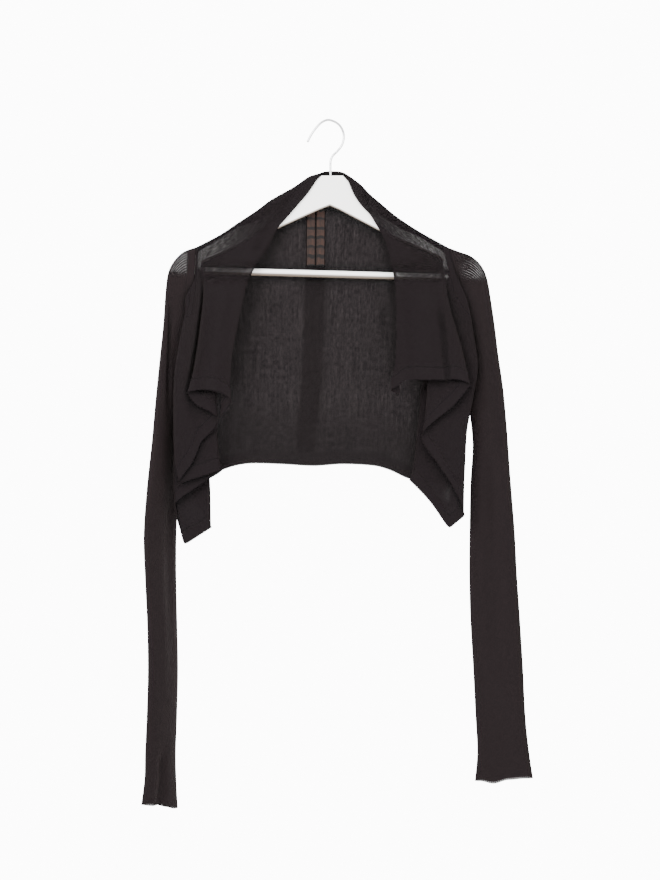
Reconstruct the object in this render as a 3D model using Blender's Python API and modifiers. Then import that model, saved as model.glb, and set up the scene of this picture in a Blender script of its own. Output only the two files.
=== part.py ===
"""A cropped, semi-sheer knit cardigan with long sleeves and draped fronts, on a wooden hanger.

Metres, +Z up. The front of the garment faces -Y. Left and right are as seen from the front.
The origin is the inside top of the hanger's hook, where a rod or a knob carries it.
Tables are in millimetres and are turned to metres as each mesh is made.
"""

import math

import bmesh
import bpy
from mathutils import Vector

MM = 0.001

# Driving sizes, in millimetres
WALL = 1.0  # the knit, as a solid wall
HEM_WALL = 1.8  # where a hem is turned up and doubled
OPEN_SPREAD = 45.0  # fold lines nearer to each other than this lie in one open curve
FOLDED_FROM = 0.45  # share of the way down a front where its folds are fully closed
SEAM_GAP = 0.3
RIM_LEAN = 0.15  # how far a wall's rim leans past its middle where the cloth turns over the hanger
ARMHOLE_INSET = 1.4  # from the middle of a sleeve's edge to the panel's edge, which slopes
HANGER_THICK = 12.0
NECK_OFF_CENTRE = 10.5  # the back neck stands a little further off, behind the label
ARMHOLE_HALF_DEPTH = 9.6
UNDERARM_HALF_GAP = 1.25
NECK_EDGE_Z = -83.0
NECK_MIDDLE_X = 8.5
BACK_WAVE = 1.6
BACK_WAVES = 0.045  # radians of the back's soft waves for each millimetre across
BAR_RADIUS = 6.0
WIRE_RADIUS = 1.9
STRIP_WIDTH = 33.0
STRIP_WALL = 1.0
STRIP_GAP = 0.45
TAPE_WIDTH = 13.5
TAPE_WALL = 1.0

# The shoulder line on each side, from the neck to the shoulder tip: x, z
RIDGE = {
    "left": ((-13, -88), (-32, -94), (-53, -109), (-97, -134), (-118, -150), (-150, -171), (-178, -190),
             (-204, -204), (-222, -213)),
    "right": ((31, -89), (43, -97), (58, -109), (70, -122), (90, -139), (115, -160), (152, -184.5),
              (190, -206), (205, -214)),
}

# The armhole on each side, from the shoulder tip to the underarm: x, z
ARMHOLE = {
    "left": ((-222, -213), (-222.5, -236), (-224, -262), (-230, -320), (-241, -380), (-252, -424)),
    "right": ((205, -214), (213, -243), (219, -268), (231, -330), (244, -390), (250, -425)),
}

# Half depth of the armhole against the share of the way down it
ARMHOLE_DEPTH = ((0.0, 0.15), (0.0045, 4.6), (0.024, 8.1), (0.07, 9.1), (0.16, 9.6), (0.5, 9.6),
                 (0.85, 8.2), (0.95, 5.0), (1.0, 1.25))

# How far the cloth stands off the hanger's middle against the drop below the shoulder line
ROLL = ((0.0, 0.15), (0.9, 4.6), (5.0, 8.1), (14.0, 9.0), (34.0, 9.6))

# The side seam below the underarm: x, z
SIDE_SEAM = {
    "left": ((-251, -424), (-249, -470), (-247, -530), (-246, -602)),
    "right": ((249, -425), (241, -470), (233, -530), (226, -612)),
}

# Fold lines of each draped front, from the free front edge to the side. Each one starts at a station
# on the shoulder line (0 to 1) or on down the armhole (1 to 2), and is a list of x, y, z below it.
FOLDS = {
    "left": (
        ("free_edge", "plain", 0.0, ((-32, -9, -119), (-48, -9.5, -139), (-67, -10, -161), (-83, -11, -181),
                                     (-97, -15, -208), (-112, -18, -229), (-126, -23, -254),
                                     (-136, -29, -278), (-142, -37, -312), (-150, -44, -350),
                                     (-158, -50, -395), (-161, -54, -445), (-160, -56, -474))),
        ("lapel_middle", "plain", 0.5, ((-128, -10, -185), (-145, -16, -225), (-162, -26, -270),
                                        (-172, -37, -320), (-184, -47, -385), (-197, -53, -455))),
        ("lapel_fold", "fold", 0.88, ((-206, -12, -234), (-208, -19, -262), (-210, -29, -307),
                                      (-217, -38, -366), (-226, -44, -423), (-235, -48, -459))),
        ("second_fold", "fold", 0.99, ((-214, -11.5, -240), (-211, -16, -262), (-204, -23, -307),
                                       (-197, -31, -366), (-190, -37, -430), (-181, -41, -502))),
        ("third_fold", "fold", 1.3, ((-236, -17, -304), (-241, -19, -326), (-245, -21, -350),
                                     (-250, -25, -390), (-254, -29, -450), (-254, -32, -520),
                                     (-254, -34, -575), (-250, -34, -612))),
        ("fourth_fold", "fold", 1.46, ((-218, -13, -328), (-206, -15.5, -356), (-191, -20, -400),
                                       (-183, -23, -450), (-182, -26, -520), (-175, -27, -588))),
        ("fifth_fold", "fold", 1.6, ((-233, -13, -370), (-241, -14, -398), (-249, -16.5, -440),
                                     (-253, -18.5, -500), (-254, -19.5, -570), (-254.5, -20, -646))),
        ("corner_outer", "plain", 1.74, ((-236, -9.5, -396), (-240, -10, -436), (-245, -11.5, -500),
                                         (-248, -13, -600), (-241, -14, -715))),
        ("corner_inner", "fold", 1.87, ((-237, -7, -416), (-222, -6.5, -454), (-205, -6.5, -520),
                                        (-196, -6.5, -610), (-194.5, -6.5, -685))),
    ),
    "right": (
        ("free_edge", "plain", 0.0, ((43, -9, -122), (56, -9.5, -142), (70, -10, -156), (79, -10.5, -171),
                                     (88, -11, -186), (98, -15, -207), (105, -19, -232), (109, -25, -257),
                                     (113, -31, -284), (114, -38, -320), (115, -44, -361), (113, -51, -410),
                                     (108, -54, -440), (115, -56, -454))),
        ("lapel_inner", "plain", 0.36, ((97, -10, -176), (114, -15, -215), (125, -24, -260),
                                        (131, -36, -320), (135, -46, -380), (139, -54, -438))),
        ("lapel_middle", "plain", 0.7, ((162, -10.5, -218), (168, -18, -255), (178, -32, -310),
                                        (190, -42, -370), (198, -51, -439))),
        ("lapel_fold", "fold", 0.89, ((194, -12, -234), (196, -19, -260), (202, -27, -290),
                                      (211, -34, -330), (226, -41, -383), (240, -47, -446))),
        ("second_fold", "fold", 0.99, ((205, -12, -242), (205, -15, -268), (204, -19, -305),
                                       (195, -28, -360), (180, -35, -430), (154, -40, -534))),
        ("third_fold", "fold", 1.3, ((235, -17, -302), (242, -19, -326), (247, -21, -351), (253, -26, -412),
                                     (248, -28, -448), (242, -30, -489), (236, -32, -522), (233, -33, -572),
                                     (231, -33, -614), (230, -33, -664))),
        ("corner", "plain", 1.46, ((223, -13.5, -332), (219, -15, -370), (214, -18, -430), (210, -22, -520),
                                   (207, -25, -600), (203, -26, -687))),
        ("inner_fold", "fold", 1.64, ((226, -12, -366), (189, -11.5, -402), (162, -11.5, -440),
                                      (155, -12, -487), (148, -13, -530), (143, -14, -575),
                                      (136, -14, -604))),
    ),
}

# Rings of each sleeve past the armhole: outer x, outer z, inner x, inner z, half depth, how far its
# outer edge swings towards the front, and the share of the armhole's bow that is left
SLEEVE_RINGS = {
    "left": (
        (-244, -221.5, -254, -428, 9.6, 0, 0.75),
        (-260, -238, -256, -434, 9.8, 0, 0.45),
        (-269, -258, -257, -442, 10, 1, 0.2),
        (-273, -290, -256.5, -452, 10, 2, 0),
        (-276, -340, -256.5, -468, 10, 4, 0),
        (-281, -395, -256.5, -492, 10.5, 7, 0),
        (-286.5, -460, -256.5, -528, 11, 12, 0),
        (-292.5, -540, -257, -580, 11.5, 19, 0),
        (-300, -620, -257.5, -640, 12, 26, 0),
        (-304.5, -698, -260, -709, 12, 31, 0),
        (-301.5, -773, -260.5, -780, 12, 33, 0),
        (-298, -847, -259, -853, 12, 33, 0),
        (-297, -922, -257.5, -929, 12, 32, 0),
        (-299, -996, -259, -1004, 12, 31, 0),
        (-302, -1060, -261, -1071, 12, 30, 0),
        (-303.5, -1105, -259.5, -1121, 11.5, 30, 0),
        (-309.5, -1148, -256.5, -1162, 11, 30, 0),
    ),
    "right": (
        (221, -220, 251.5, -429, 9.6, 0, 0.75),
        (242, -228, 252.5, -434, 9.8, 0, 0.45),
        (258.5, -243, 252.5, -441, 10, 0, 0.2),
        (269, -266, 251, -450, 10, 0, 0),
        (276, -305, 248.5, -462, 10, 0, 0),
        (282.5, -350, 245.5, -476, 10, 0, 0),
        (288, -395, 243.5, -494, 10, 0, 0),
        (296, -450, 244.5, -522, 10, 0, 0),
        (302, -515, 245, -556, 10.5, 2, 0),
        (308, -600, 241.5, -612, 11, 3, 0),
        (315, -690, 240, -694, 11, 4, 0),
        (319, -765, 239.5, -766, 11, 4, 0),
        (324, -840, 241.5, -840, 11.5, 5, 0),
        (329, -920, 246, -920, 11.5, 5, 0),
        (333, -1000, 250, -1002, 11.5, 4, 0),
        (339, -1060, 253, -1064, 11, 4, 0),
        (346, -1107, 249, -1113, 10.5, 4, 0),
    ),
}

# The back's hem, from the left side seam to the right one: x, y, z
BACK_HEM = ((-246, 1, -602), (-225, 8, -600), (-200, 12, -597), (-161, 14, -583), (-131, 11, -578),
            (-80, 14, -579), (-21, 11, -582), (24, 13, -579), (80, 11, -582), (105, 14, -589),
            (139, 12, -604), (185, 12, -612), (210, 8, -613), (226, 1, -612))

# How far out along its hem each station of the back's upper edge hangs, and the stations of its columns
BACK_HEM_REACH = ((-1.0, 0.04), (0.0, 0.10), (0.9, 0.68), (1.0, 0.74), (1.22, 0.82), (1.4, 0.87),
                  (1.7, 0.94),
                  (2.0, 1.0))
BACK_STATIONS = (-0.6, -0.25, -0.08, 0.0, 0.07, 0.16, 0.27, 0.38, 0.5, 0.62, 0.74, 0.84, 0.92, 0.97,
                 1.0, 1.0245, 1.057, 1.095, 1.146, 1.206, 1.273, 1.345, 1.5, 1.655, 1.794, 1.905, 2.0)

# Left edge of the doubled strip down the centre back, with the depth of the panel it lies on: x, z
STRIP_LEFT_EDGE = ((-36, -124), (-36.2, -138), (-36.5, -156), (-36.8, -175), (-37, -195), (-38, -268),
                   (-40, -361), (-43, -430), (-51, -507), (-54, -556))

# The hanger board's outline, anticlockwise from the left arm's end: x, z
BOARD_TOP = ((193, -219), (182, -212), (164, -201), (152, -194), (122, -181), (94, -163), (80, -149),
             (56, -125), (41, -107), (26, -92.5), (-10, -92.5), (-26, -104), (-41, -117), (-63, -134),
             (-83, -149),
             (-122, -170), (-150, -178), (-178, -196), (-204, -212), (-216, -219))
BOARD_LEFT_END = ((-225, -229), (-226, -258), (-222, -262), (-217, -262), (-213, -259), (-213, -239))
BOARD_BELOW = ((-164, -217), (-122, -197), (-83, -181), (-14, -150), (4, -143), (20, -150), (87, -185),
               (191, -231))
BOARD_RIGHT_END = ((195, -236), (195, -268), (198, -272), (204, -272), (207, -268), (202, -228))

# The hook's centre line, from its tip round to the board: x, z
HOOK_LINE = ((-33, -34), (-28, -24), (-20, -12.5), (-11, -3), (0, 1.9), (11, -0.6), (20, -6.8), (26, -17),
             (27.5, -29), (24, -41), (16.5, -51), (9, -58.5), (5.5, -66), (5, -76), (5, -92))

BAR_ENDS = ((-212.4, -252.2), (194.5, -263.5))

BLACK_BROWN = (0.020, 0.015, 0.016, 1.0)
LABEL_BROWN = (0.075, 0.045, 0.036, 1.0)
WHITE_PAINT = (0.86, 0.85, 0.83, 1.0)
STEEL = (0.62, 0.62, 0.63, 1.0)


# Curves through short tables

def spline_at(points, share):
    """The point at this share of the way along a smooth curve through the points."""
    points = [Vector(p) for p in points]
    lengths = [0.0]
    for a, b in zip(points, points[1:]):
        lengths.append(lengths[-1] + (b - a).length)
    along = min(max(share, 0.0), 1.0) * lengths[-1]
    k = 0
    while k < len(points) - 2 and along > lengths[k + 1]:
        k += 1
    step = lengths[k + 1] - lengths[k]
    t = (along - lengths[k]) / step

    def slope(i):
        if i == 0:
            return (points[1] - points[0]) / lengths[1]
        if i == len(points) - 1:
            return (points[i] - points[i - 1]) / (lengths[i] - lengths[i - 1])
        return (points[i + 1] - points[i - 1]) / (lengths[i + 1] - lengths[i - 1])

    h00 = 2 * t ** 3 - 3 * t ** 2 + 1
    h10 = t ** 3 - 2 * t ** 2 + t
    h01 = -2 * t ** 3 + 3 * t ** 2
    h11 = t ** 3 - t ** 2
    return points[k] * h00 + slope(k) * (h10 * step) + points[k + 1] * h01 + slope(k + 1) * (h11 * step)


def table_at(table, value):
    """Linear reading of a two-column table."""
    for (a, fa), (b, fb) in zip(table, table[1:]):
        if value <= b:
            return fa + (fb - fa) * max(0.0, value - a) / (b - a)
    return table[-1][1]


def outward(side):
    return -1.0 if side == "left" else 1.0


# The seam line that both fronts, the back and the sleeves share

def armhole_point(side, share, face):
    """A point of the armhole. face is -1 on the front and 1 on the back."""
    x, z = spline_at(ARMHOLE[side], share)
    return Vector((x, face * table_at(ARMHOLE_DEPTH, share), z))


def seam_top(side, station, face):
    """The panel's upper edge: the shoulder line for stations 0 to 1, then the armhole."""
    if station <= 1.0:
        x, z = spline_at(RIDGE[side], station)
        inset = ARMHOLE_INSET * max(0.0, station * 20 - 19)
        return Vector((x - outward(side) * inset, face * (SEAM_GAP / 2 + RIM_LEAN), z))
    point = armhole_point(side, station - 1.0, face)
    point.x -= outward(side) * ARMHOLE_INSET
    return point


def shoulder_height(side, x):
    """Height of the shoulder line over x."""
    line = sorted(RIDGE[side])
    for (a, za), (b, zb) in zip(line, line[1:]):
        if x <= b:
            return za + (zb - za) * max(0.0, x - a) / (b - a)
    return line[-1][1]


def leaving_rows(side, station, face):
    """The edge and the two rows next to it, where the cloth rolls over the hanger or leaves the armhole."""
    top = seam_top(side, station, face)
    sewn = min(max((station - 0.94) / 0.11, 0.0), 1.0)
    proud = sewn * min(max((1.7 - station) / 0.4, 0.0), 1.0)
    rows = [top]
    for inward, down, extra in ((1.2 * sewn, 0.9 + 0.3 * sewn, 0.4), (2.4 * sewn, 5.0 - 1.8 * sewn, 1.2)):
        x = top.x - outward(side) * inward
        z = top.z - down
        depth = abs(top.y) + extra * proud
        if station < 1.3:
            depth = max(depth, table_at(ROLL, shoulder_height(side, x) - z))
        rows.append(Vector((x, face * depth, z)))
    return rows


def relaxed(row, times):
    """The row with each inner point drawn half way to its neighbours, as cloth rounds its folds."""
    for _ in range(times):
        row = [row[0]] + [(a + c) * 0.25 + b * 0.5 for a, b, c in zip(row, row[1:], row[2:])] + [row[-1]]
    return row


# Draped fronts

def across_fold(t, left_kind, right_kind):
    """Shares of the way across in the cloth's plane and in depth. Depth turns fast at a fold."""
    start = 0.0 if left_kind == "fold" else 1.0
    end = 0.0 if right_kind == "fold" else 1.0
    plane = (-2 * t ** 3 + 3 * t ** 2) + start * (t ** 3 - 2 * t ** 2 + t) + end * (t ** 3 - t ** 2)
    power = (5.0 if left_kind == "fold" else 1.5) if t < 0.5 else (5.0 if right_kind == "fold" else 1.5)
    bend = 0.5 * abs(2 * t - 1) ** power
    depth = 0.5 - bend if t < 0.5 else 0.5 + bend
    return plane, depth


def front_rows(side, across, down):
    """Points of a front panel, row by row from the shoulder to the hem, in millimetres."""
    folds = list(FOLDS[side])
    seam = [Vector((x, -UNDERARM_HALF_GAP, z)) for x, z in SIDE_SEAM[side]]
    columns = []
    for k in range(len(folds)):
        name, kind, station, line = folds[k]
        last = k == len(folds) - 1
        next_kind = "plain" if last else folds[k + 1][1]
        next_station = 2.0 if last else folds[k + 1][2]
        start = leaving_rows(side, station, -1)[2]
        next_start = leaving_rows(side, next_station, -1)[2]
        line = [start] + [Vector(p) for p in line]
        next_line = seam if last else [next_start] + [Vector(p) for p in folds[k + 1][3]]
        count = len(across) - 1
        for i in range(count + 1 if last else count):
            t = across[i]
            even = i / count
            at = station + (next_station - station) * even
            head = leaving_rows(side, at, -1)
            if last and t == 1.0:
                head = [seam_top(side, 2.0, -1)] * 3
            column = []
            for w in down:
                spread = abs(spline_at(next_line, w).x - spline_at(line, w).x)
                folded = min(1.0, w / FOLDED_FROM) ** 2 * min(1.0, spread / OPEN_SPREAD) ** 2
                plane, depth = across_fold(t, kind, next_kind)
                plane = even + (plane - even) * folded
                depth = even + (depth - even) * folded
                a = spline_at(line, w)
                b = spline_at(next_line, w)
                point = Vector((a.x + (b.x - a.x) * plane,
                                a.y + (b.y - a.y) * depth,
                                a.z + (b.z - a.z) * plane))
                if w == 0.0:
                    miss = head[2] - point
                point += miss * (1 - w) ** 6
                column.append(point)
            if last and t == 1.0:
                step = (column[1] - column[0]) / 3
                head = [column[0], column[0] + step, column[0] + step * 2]
                column[0] = head[2]
            columns.append(head[:2] + column)
    rows = [[column[j] for column in columns] for j in range(len(columns[0]))]
    return [rows[0]] + [relaxed(row, 2) for row in rows[1:-1]] + [rows[-1]]


# The back

def back_edge(side, station):
    """The rows next to the back's upper edge. Stations from -1 to 0 run along the neck from its middle."""
    if station >= 0.0:
        return leaving_rows(side, station, 1)
    corner = seam_top(side, 0.0, 1)
    middle = Vector((NECK_MIDDLE_X, NECK_OFF_CENTRE, NECK_EDGE_Z))
    t = station + 1.0
    bend = t ** 4
    point = Vector((middle.x + (corner.x - middle.x) * t,
                    middle.y + (corner.y - middle.y) * bend,
                    middle.z + (corner.z - middle.z) * bend))
    roll = [point, point + Vector((0, 0.1, -3)), point + Vector((0, 0.2, -8))]
    edge = leaving_rows(side, 0.0, 1)
    return [a.lerp(b, bend) for a, b in zip(roll, edge)]


def back_rows(down):
    """Points of the back panel, row by row from the neck to the hem, in millimetres."""
    stations = [("left", s) for s in reversed(BACK_STATIONS)] + [("left", -1.0)]
    stations += [("right", s) for s in BACK_STATIONS]
    columns = []
    for side, station in stations:
        across = outward(side)
        low = spline_at(BACK_HEM, 0.5 + across * table_at(BACK_HEM_REACH, station) / 2)
        if station == 2.0:
            seam = [Vector((x, UNDERARM_HALF_GAP, z)) for x, z in SIDE_SEAM[side]]
            column = [spline_at(seam, w) for w in down]
            step = (column[1] - column[0]) / 3
            columns.append([column[0], column[0] + step, column[0] + step * 2] + column[1:])
            continue
        head = back_edge(side, station)
        column = []
        for w in down:
            point = head[2].lerp(low, w)
            point.x = head[2].x + (low.x - head[2].x) * (1 - (1 - w) ** 2.5)
            wave = BACK_WAVE * math.sin(point.x * BACK_WAVES) * w
            near_side = min(1.0, (2.0 - station) * 4)
            flat = min(1.0, w * 10) * (1 - w) ** 0.5 * near_side
            point.y += (NECK_OFF_CENTRE + wave - point.y) * flat
            column.append(point)
        columns.append(head[:2] + column)
    return [[column[j] for column in columns] for j in range(len(columns[0]))]


# Sleeves

def sleeve_rings(side, around, between):
    """Rings of a sleeve from the armhole to the cuff, in millimetres."""
    table = SLEEVE_RINGS[side]
    top_x, top_z = ARMHOLE[side][0]
    arm_x, arm_z = ARMHOLE[side][-1]
    outer = [Vector((top_x, 0, top_z))] + [Vector((r[0], -r[5], r[1])) for r in table]
    inner = [Vector((arm_x, 0, arm_z))] + [Vector((r[2], r[5], r[3])) for r in table]
    middle = [(a + b) / 2 for a, b in zip(outer, inner)]
    bow = [1.0] + [r[6] for r in table]
    deep = [ARMHOLE_HALF_DEPTH] + [r[4] for r in table]
    rings = []
    for k in range(len(outer)):
        steps = range(between) if k < len(outer) - 1 else (0,)
        for step in steps:
            t = step / between
            n = min(k + 1, len(outer) - 1)
            out = outer[k].lerp(outer[n], t)
            into = inner[k].lerp(inner[n], t)
            centre = (out + into) / 2
            way = (middle[n] - middle[max(k - 1, 0)]).normalized()
            long_axis = (out - into) / 2
            short_axis = long_axis.cross(way).normalized()
            if short_axis.y > 0:
                short_axis.negate()
            half = deep[k] + (deep[n] - deep[k]) * t
            left_bow = bow[k] + (bow[n] - bow[k]) * t
            ring = []
            for i in range(around):
                angle = 2 * math.pi * i / around
                share = (1 - math.cos(angle)) / 2
                face = 1.0 if angle < math.pi else -1.0
                straight = outer[0].lerp(inner[0], share)
                curved = armhole_point(side, share, -face)
                lift = half * abs(math.sin(angle)) ** 0.75 * face
                flat = centre + long_axis * math.cos(angle) + short_axis * lift
                if left_bow > 0:
                    flat.x += (curved.x - straight.x) * left_bow
                    flat.z += (curved.z - straight.z) * left_bow
                    flat.y += (curved.y - flat.y) * left_bow
                ring.append(flat)
            rings.append(ring)
    return rings


# Mesh making

def material(name, colour, roughness, metallic=0.0):
    made = bpy.data.materials.new(name)
    made.use_nodes = True
    shader = made.node_tree.nodes["Principled BSDF"]
    shader.inputs["Base Color"].default_value = colour
    shader.inputs["Roughness"].default_value = roughness
    shader.inputs["Metallic"].default_value = metallic
    made.diffuse_color = colour
    return made


def add_object(name, mesh, finish, collection):
    made = bpy.data.objects.new(name, mesh)
    mesh.materials.append(finish)
    collection.objects.link(made)
    return made


def grid_mesh(name, rows, closed=False):
    """A sheet through rows of points given in millimetres, joined round when closed."""
    made = bmesh.new()
    lines = [[made.verts.new(point * MM) for point in row] for row in rows]
    for upper, lower in zip(lines, lines[1:]):
        count = len(upper)
        for i in range(count if closed else count - 1):
            j = (i + 1) % count
            made.faces.new((upper[i], lower[i], lower[j], upper[j]))
    bmesh.ops.recalc_face_normals(made, faces=made.faces)
    mesh = bpy.data.meshes.new(name)
    made.to_mesh(mesh)
    made.free()
    mesh.shade_smooth()
    return mesh


def sheet(name, rows, wall, finish, collection, closed=False, hem_rows=0):
    """A sheet given its wall, thicker over the last rows where the hem is doubled."""
    made = add_object(name, grid_mesh(name, rows, closed), finish, collection)
    group = made.vertex_groups.new(name="wall")
    width = len(rows[0])
    plain_until = len(rows) - hem_rows
    for j in range(len(rows)):
        weight = 1.0 if j >= plain_until else wall / HEM_WALL
        group.add(range(j * width, (j + 1) * width), weight, "REPLACE")
    solid = made.modifiers.new("Wall", "SOLIDIFY")
    solid.thickness = HEM_WALL * MM
    solid.offset = 0.0
    solid.vertex_group = "wall"
    solid.use_rim = True
    return made


def strip_on_back(name, left_edge, width, wall, lift, finish, collection):
    """A narrow strip that follows the back panel, moved off it by lift towards +Y or -Y."""
    rows = []
    for x, z in left_edge:
        across = [x + width * t for t in (0.0, 0.25, 0.5, 0.75, 1.0)]
        rows.append([Vector((place, back_depth(place, z) + lift, z)) for place in across])
    made = add_object(name, grid_mesh(name, rows), finish, collection)
    solid = made.modifiers.new("Wall", "SOLIDIFY")
    solid.thickness = wall * MM
    solid.offset = 0.0
    return made


def back_depth(x, z):
    """Depth of the back panel's middle at x, z, read from the sheet's own rows."""
    def on_row(row):
        for a, b in zip(row, row[1:]):
            if a.x <= x <= b.x:
                return a.lerp(b, (x - a.x) / (b.x - a.x))
        return None

    crossed = [point for point in map(on_row, BACK_GRID) if point]
    for upper, lower in zip(crossed, crossed[1:]):
        if upper.z >= z >= lower.z:
            return upper.lerp(lower, (upper.z - z) / (upper.z - lower.z)).y
    return crossed[-1].y


def hanger_board(finish, collection):
    outline = BOARD_TOP + BOARD_LEFT_END + BOARD_BELOW + BOARD_RIGHT_END
    made = bmesh.new()
    corners = [made.verts.new((x * MM, -HANGER_THICK / 2 * MM, z * MM)) for x, z in outline]
    face = made.faces.new(corners)
    pushed = bmesh.ops.extrude_face_region(made, geom=[face])
    moved = [v for v in pushed["geom"] if isinstance(v, bmesh.types.BMVert)]
    bmesh.ops.translate(made, verts=moved, vec=(0, HANGER_THICK * MM, 0))
    bmesh.ops.recalc_face_normals(made, faces=made.faces)
    mesh = bpy.data.meshes.new("hanger_board")
    made.to_mesh(mesh)
    made.free()
    board = add_object("hanger_board", mesh, finish, collection)
    bevel = board.modifiers.new("Edge", "BEVEL")
    bevel.width = 2.4 * MM
    bevel.segments = 2
    bevel.limit_method = "ANGLE"
    bevel.angle_limit = math.radians(60)
    return board


def hanger_bar(finish, collection):
    (x0, z0), (x1, z1) = BAR_ENDS
    along = Vector((x1 - x0, 0, z1 - z0))
    made = bmesh.new()
    bmesh.ops.create_cone(made, cap_ends=True, segments=20, radius1=BAR_RADIUS * MM, radius2=BAR_RADIUS * MM,
                          depth=along.length * MM)
    mesh = bpy.data.meshes.new("hanger_bar")
    made.to_mesh(mesh)
    made.free()
    bar = add_object("hanger_bar", mesh, finish, collection)
    bar.location = Vector(((x0 + x1) / 2, 0, (z0 + z1) / 2)) * MM
    bar.rotation_euler = (0, math.pi / 2 + math.atan2(z0 - z1, x1 - x0), 0)
    return bar


def hanger_hook(finish, collection):
    curve = bpy.data.curves.new("hanger_hook", "CURVE")
    curve.dimensions = "3D"
    curve.bevel_depth = WIRE_RADIUS * MM
    curve.bevel_resolution = 2
    curve.use_fill_caps = True
    points = 32
    line = curve.splines.new("POLY")
    line.points.add(points - 1)
    for i in range(points):
        x, z = spline_at(HOOK_LINE, i / (points - 1))
        line.points[i].co = (x * MM, 0, z * MM, 1)
    hook = bpy.data.objects.new("hanger_hook", curve)
    curve.materials.append(finish)
    collection.objects.link(hook)
    return hook


for old in list(bpy.data.objects):
    bpy.data.objects.remove(old)

garment = bpy.data.collections.new("cropped_cardigan")
bpy.context.scene.collection.children.link(garment)

knit = material("Fine rayon knit", BLACK_BROWN, 0.85)
tape = material("Label tape", LABEL_BROWN, 0.6)
paint = material("White painted wood", WHITE_PAINT, 0.45)
steel = material("Polished steel wire", STEEL, 0.2, 1.0)

ACROSS = (0.0, 0.12, 0.27, 0.5, 0.73, 0.88, 1.0)
DOWN = (0.0, 0.06, 0.13, 0.21, 0.3, 0.4, 0.51, 0.62, 0.73, 0.84, 0.93, 1.0)
BACK_DOWN = (0.0, 0.05, 0.12, 0.22, 0.34, 0.47, 0.6, 0.73, 0.85, 0.955, 1.0)
AROUND = 20
RINGS_BETWEEN = 1

BACK_GRID = back_rows(BACK_DOWN)
sheet("back_panel", BACK_GRID, WALL, knit, garment, hem_rows=2)
for side in ("left", "right"):
    sheet("front_" + side, front_rows(side, ACROSS, DOWN), WALL, knit, garment, hem_rows=2)
    sheet("sleeve_" + side, sleeve_rings(side, AROUND, RINGS_BETWEEN), WALL, knit, garment, closed=True)

strip_lift = WALL / 2 + STRIP_GAP + STRIP_WALL / 2
strip_on_back("back_strip", STRIP_LEFT_EDGE, STRIP_WIDTH, STRIP_WALL, strip_lift, knit, garment)
tape_lift = -(WALL / 2 + STRIP_GAP + TAPE_WALL / 2)
for side, x in (("left", -35.0), ("right", -18.7)):
    edge = [(x + 0.5, -124), (x + 0.4, -145), (x + 0.2, -175), (x, -244)]
    strip_on_back("label_tape_" + side, edge, TAPE_WIDTH, TAPE_WALL, tape_lift, tape, garment)

hanger_board(paint, garment)
hanger_bar(paint, garment)
hanger_hook(steel, garment)
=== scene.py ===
# %% [markdown]
# # A cropped, semi-sheer cardigan on a wooden hanger
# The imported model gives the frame: every node sits where the real part sits, in metres.
# Here the limp knit is made again as thin cloth on the same lines, finer than a solid can be, and
# each surface gets a finish worked out from the real material. Left and right are as seen from the front.

# %% Load the frame
import math

import bmesh
import bpy
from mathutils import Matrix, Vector


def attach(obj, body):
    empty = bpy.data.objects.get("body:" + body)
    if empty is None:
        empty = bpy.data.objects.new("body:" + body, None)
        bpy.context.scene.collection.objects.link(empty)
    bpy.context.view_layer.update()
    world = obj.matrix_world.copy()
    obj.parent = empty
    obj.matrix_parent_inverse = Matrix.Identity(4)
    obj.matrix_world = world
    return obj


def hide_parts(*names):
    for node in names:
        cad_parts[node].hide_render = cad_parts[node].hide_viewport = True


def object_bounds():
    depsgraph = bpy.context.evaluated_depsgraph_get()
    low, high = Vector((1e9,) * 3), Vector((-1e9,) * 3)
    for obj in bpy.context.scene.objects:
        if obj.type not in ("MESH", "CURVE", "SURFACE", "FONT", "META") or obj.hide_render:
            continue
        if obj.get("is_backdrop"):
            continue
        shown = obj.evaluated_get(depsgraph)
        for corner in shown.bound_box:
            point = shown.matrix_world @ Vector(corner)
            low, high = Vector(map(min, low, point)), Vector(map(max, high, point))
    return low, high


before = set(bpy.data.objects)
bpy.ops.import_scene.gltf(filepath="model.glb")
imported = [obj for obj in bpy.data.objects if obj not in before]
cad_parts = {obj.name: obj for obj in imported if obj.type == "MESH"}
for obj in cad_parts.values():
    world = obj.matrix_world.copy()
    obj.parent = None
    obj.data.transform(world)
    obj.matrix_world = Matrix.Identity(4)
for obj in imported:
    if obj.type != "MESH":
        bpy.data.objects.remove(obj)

MM = 0.001
cad_box = [list(corner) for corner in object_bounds()]
print("nodes:", sorted(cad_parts))
print("box in mm:", [[round(v / MM) for v in corner] for corner in cad_box])

# %% [markdown]
# ## Curves through short tables
# A hanging cloth is described by a few lines that can be seen on it: the shoulder, the armhole, each fold.
# A smooth curve through a few points stands for each line, and a sheet is stretched between the lines.
# Sculpting would give a shape too, but lines in a table can be measured and put right one by one.

# %% Smooth curves
def curve_point(points, share):
    """The point at this share of the way along a smooth curve through the points."""
    points = [Vector(p) for p in points]
    lengths = [0.0]
    for a, b in zip(points, points[1:]):
        lengths.append(lengths[-1] + (b - a).length)
    along = min(max(share, 0.0), 1.0) * lengths[-1]
    k = 0
    while k < len(points) - 2 and along > lengths[k + 1]:
        k += 1
    step = lengths[k + 1] - lengths[k]
    t = (along - lengths[k]) / step

    def slope(i):
        first, last = max(i - 1, 0), min(i + 1, len(points) - 1)
        return (points[last] - points[first]) / (lengths[last] - lengths[first])

    near = points[k] * (2 * t ** 3 - 3 * t ** 2 + 1) + slope(k) * ((t ** 3 - 2 * t ** 2 + t) * step)
    far = points[k + 1] * (3 * t ** 2 - 2 * t ** 3) + slope(k + 1) * ((t ** 3 - t ** 2) * step)
    return near + far


def table_at(table, value):
    """Linear reading of a two-column table."""
    for (a, fa), (b, fb) in zip(table, table[1:]):
        if value <= b:
            return fa + (fb - fa) * max(0.0, value - a) / (b - a)
    return table[-1][1]


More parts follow.
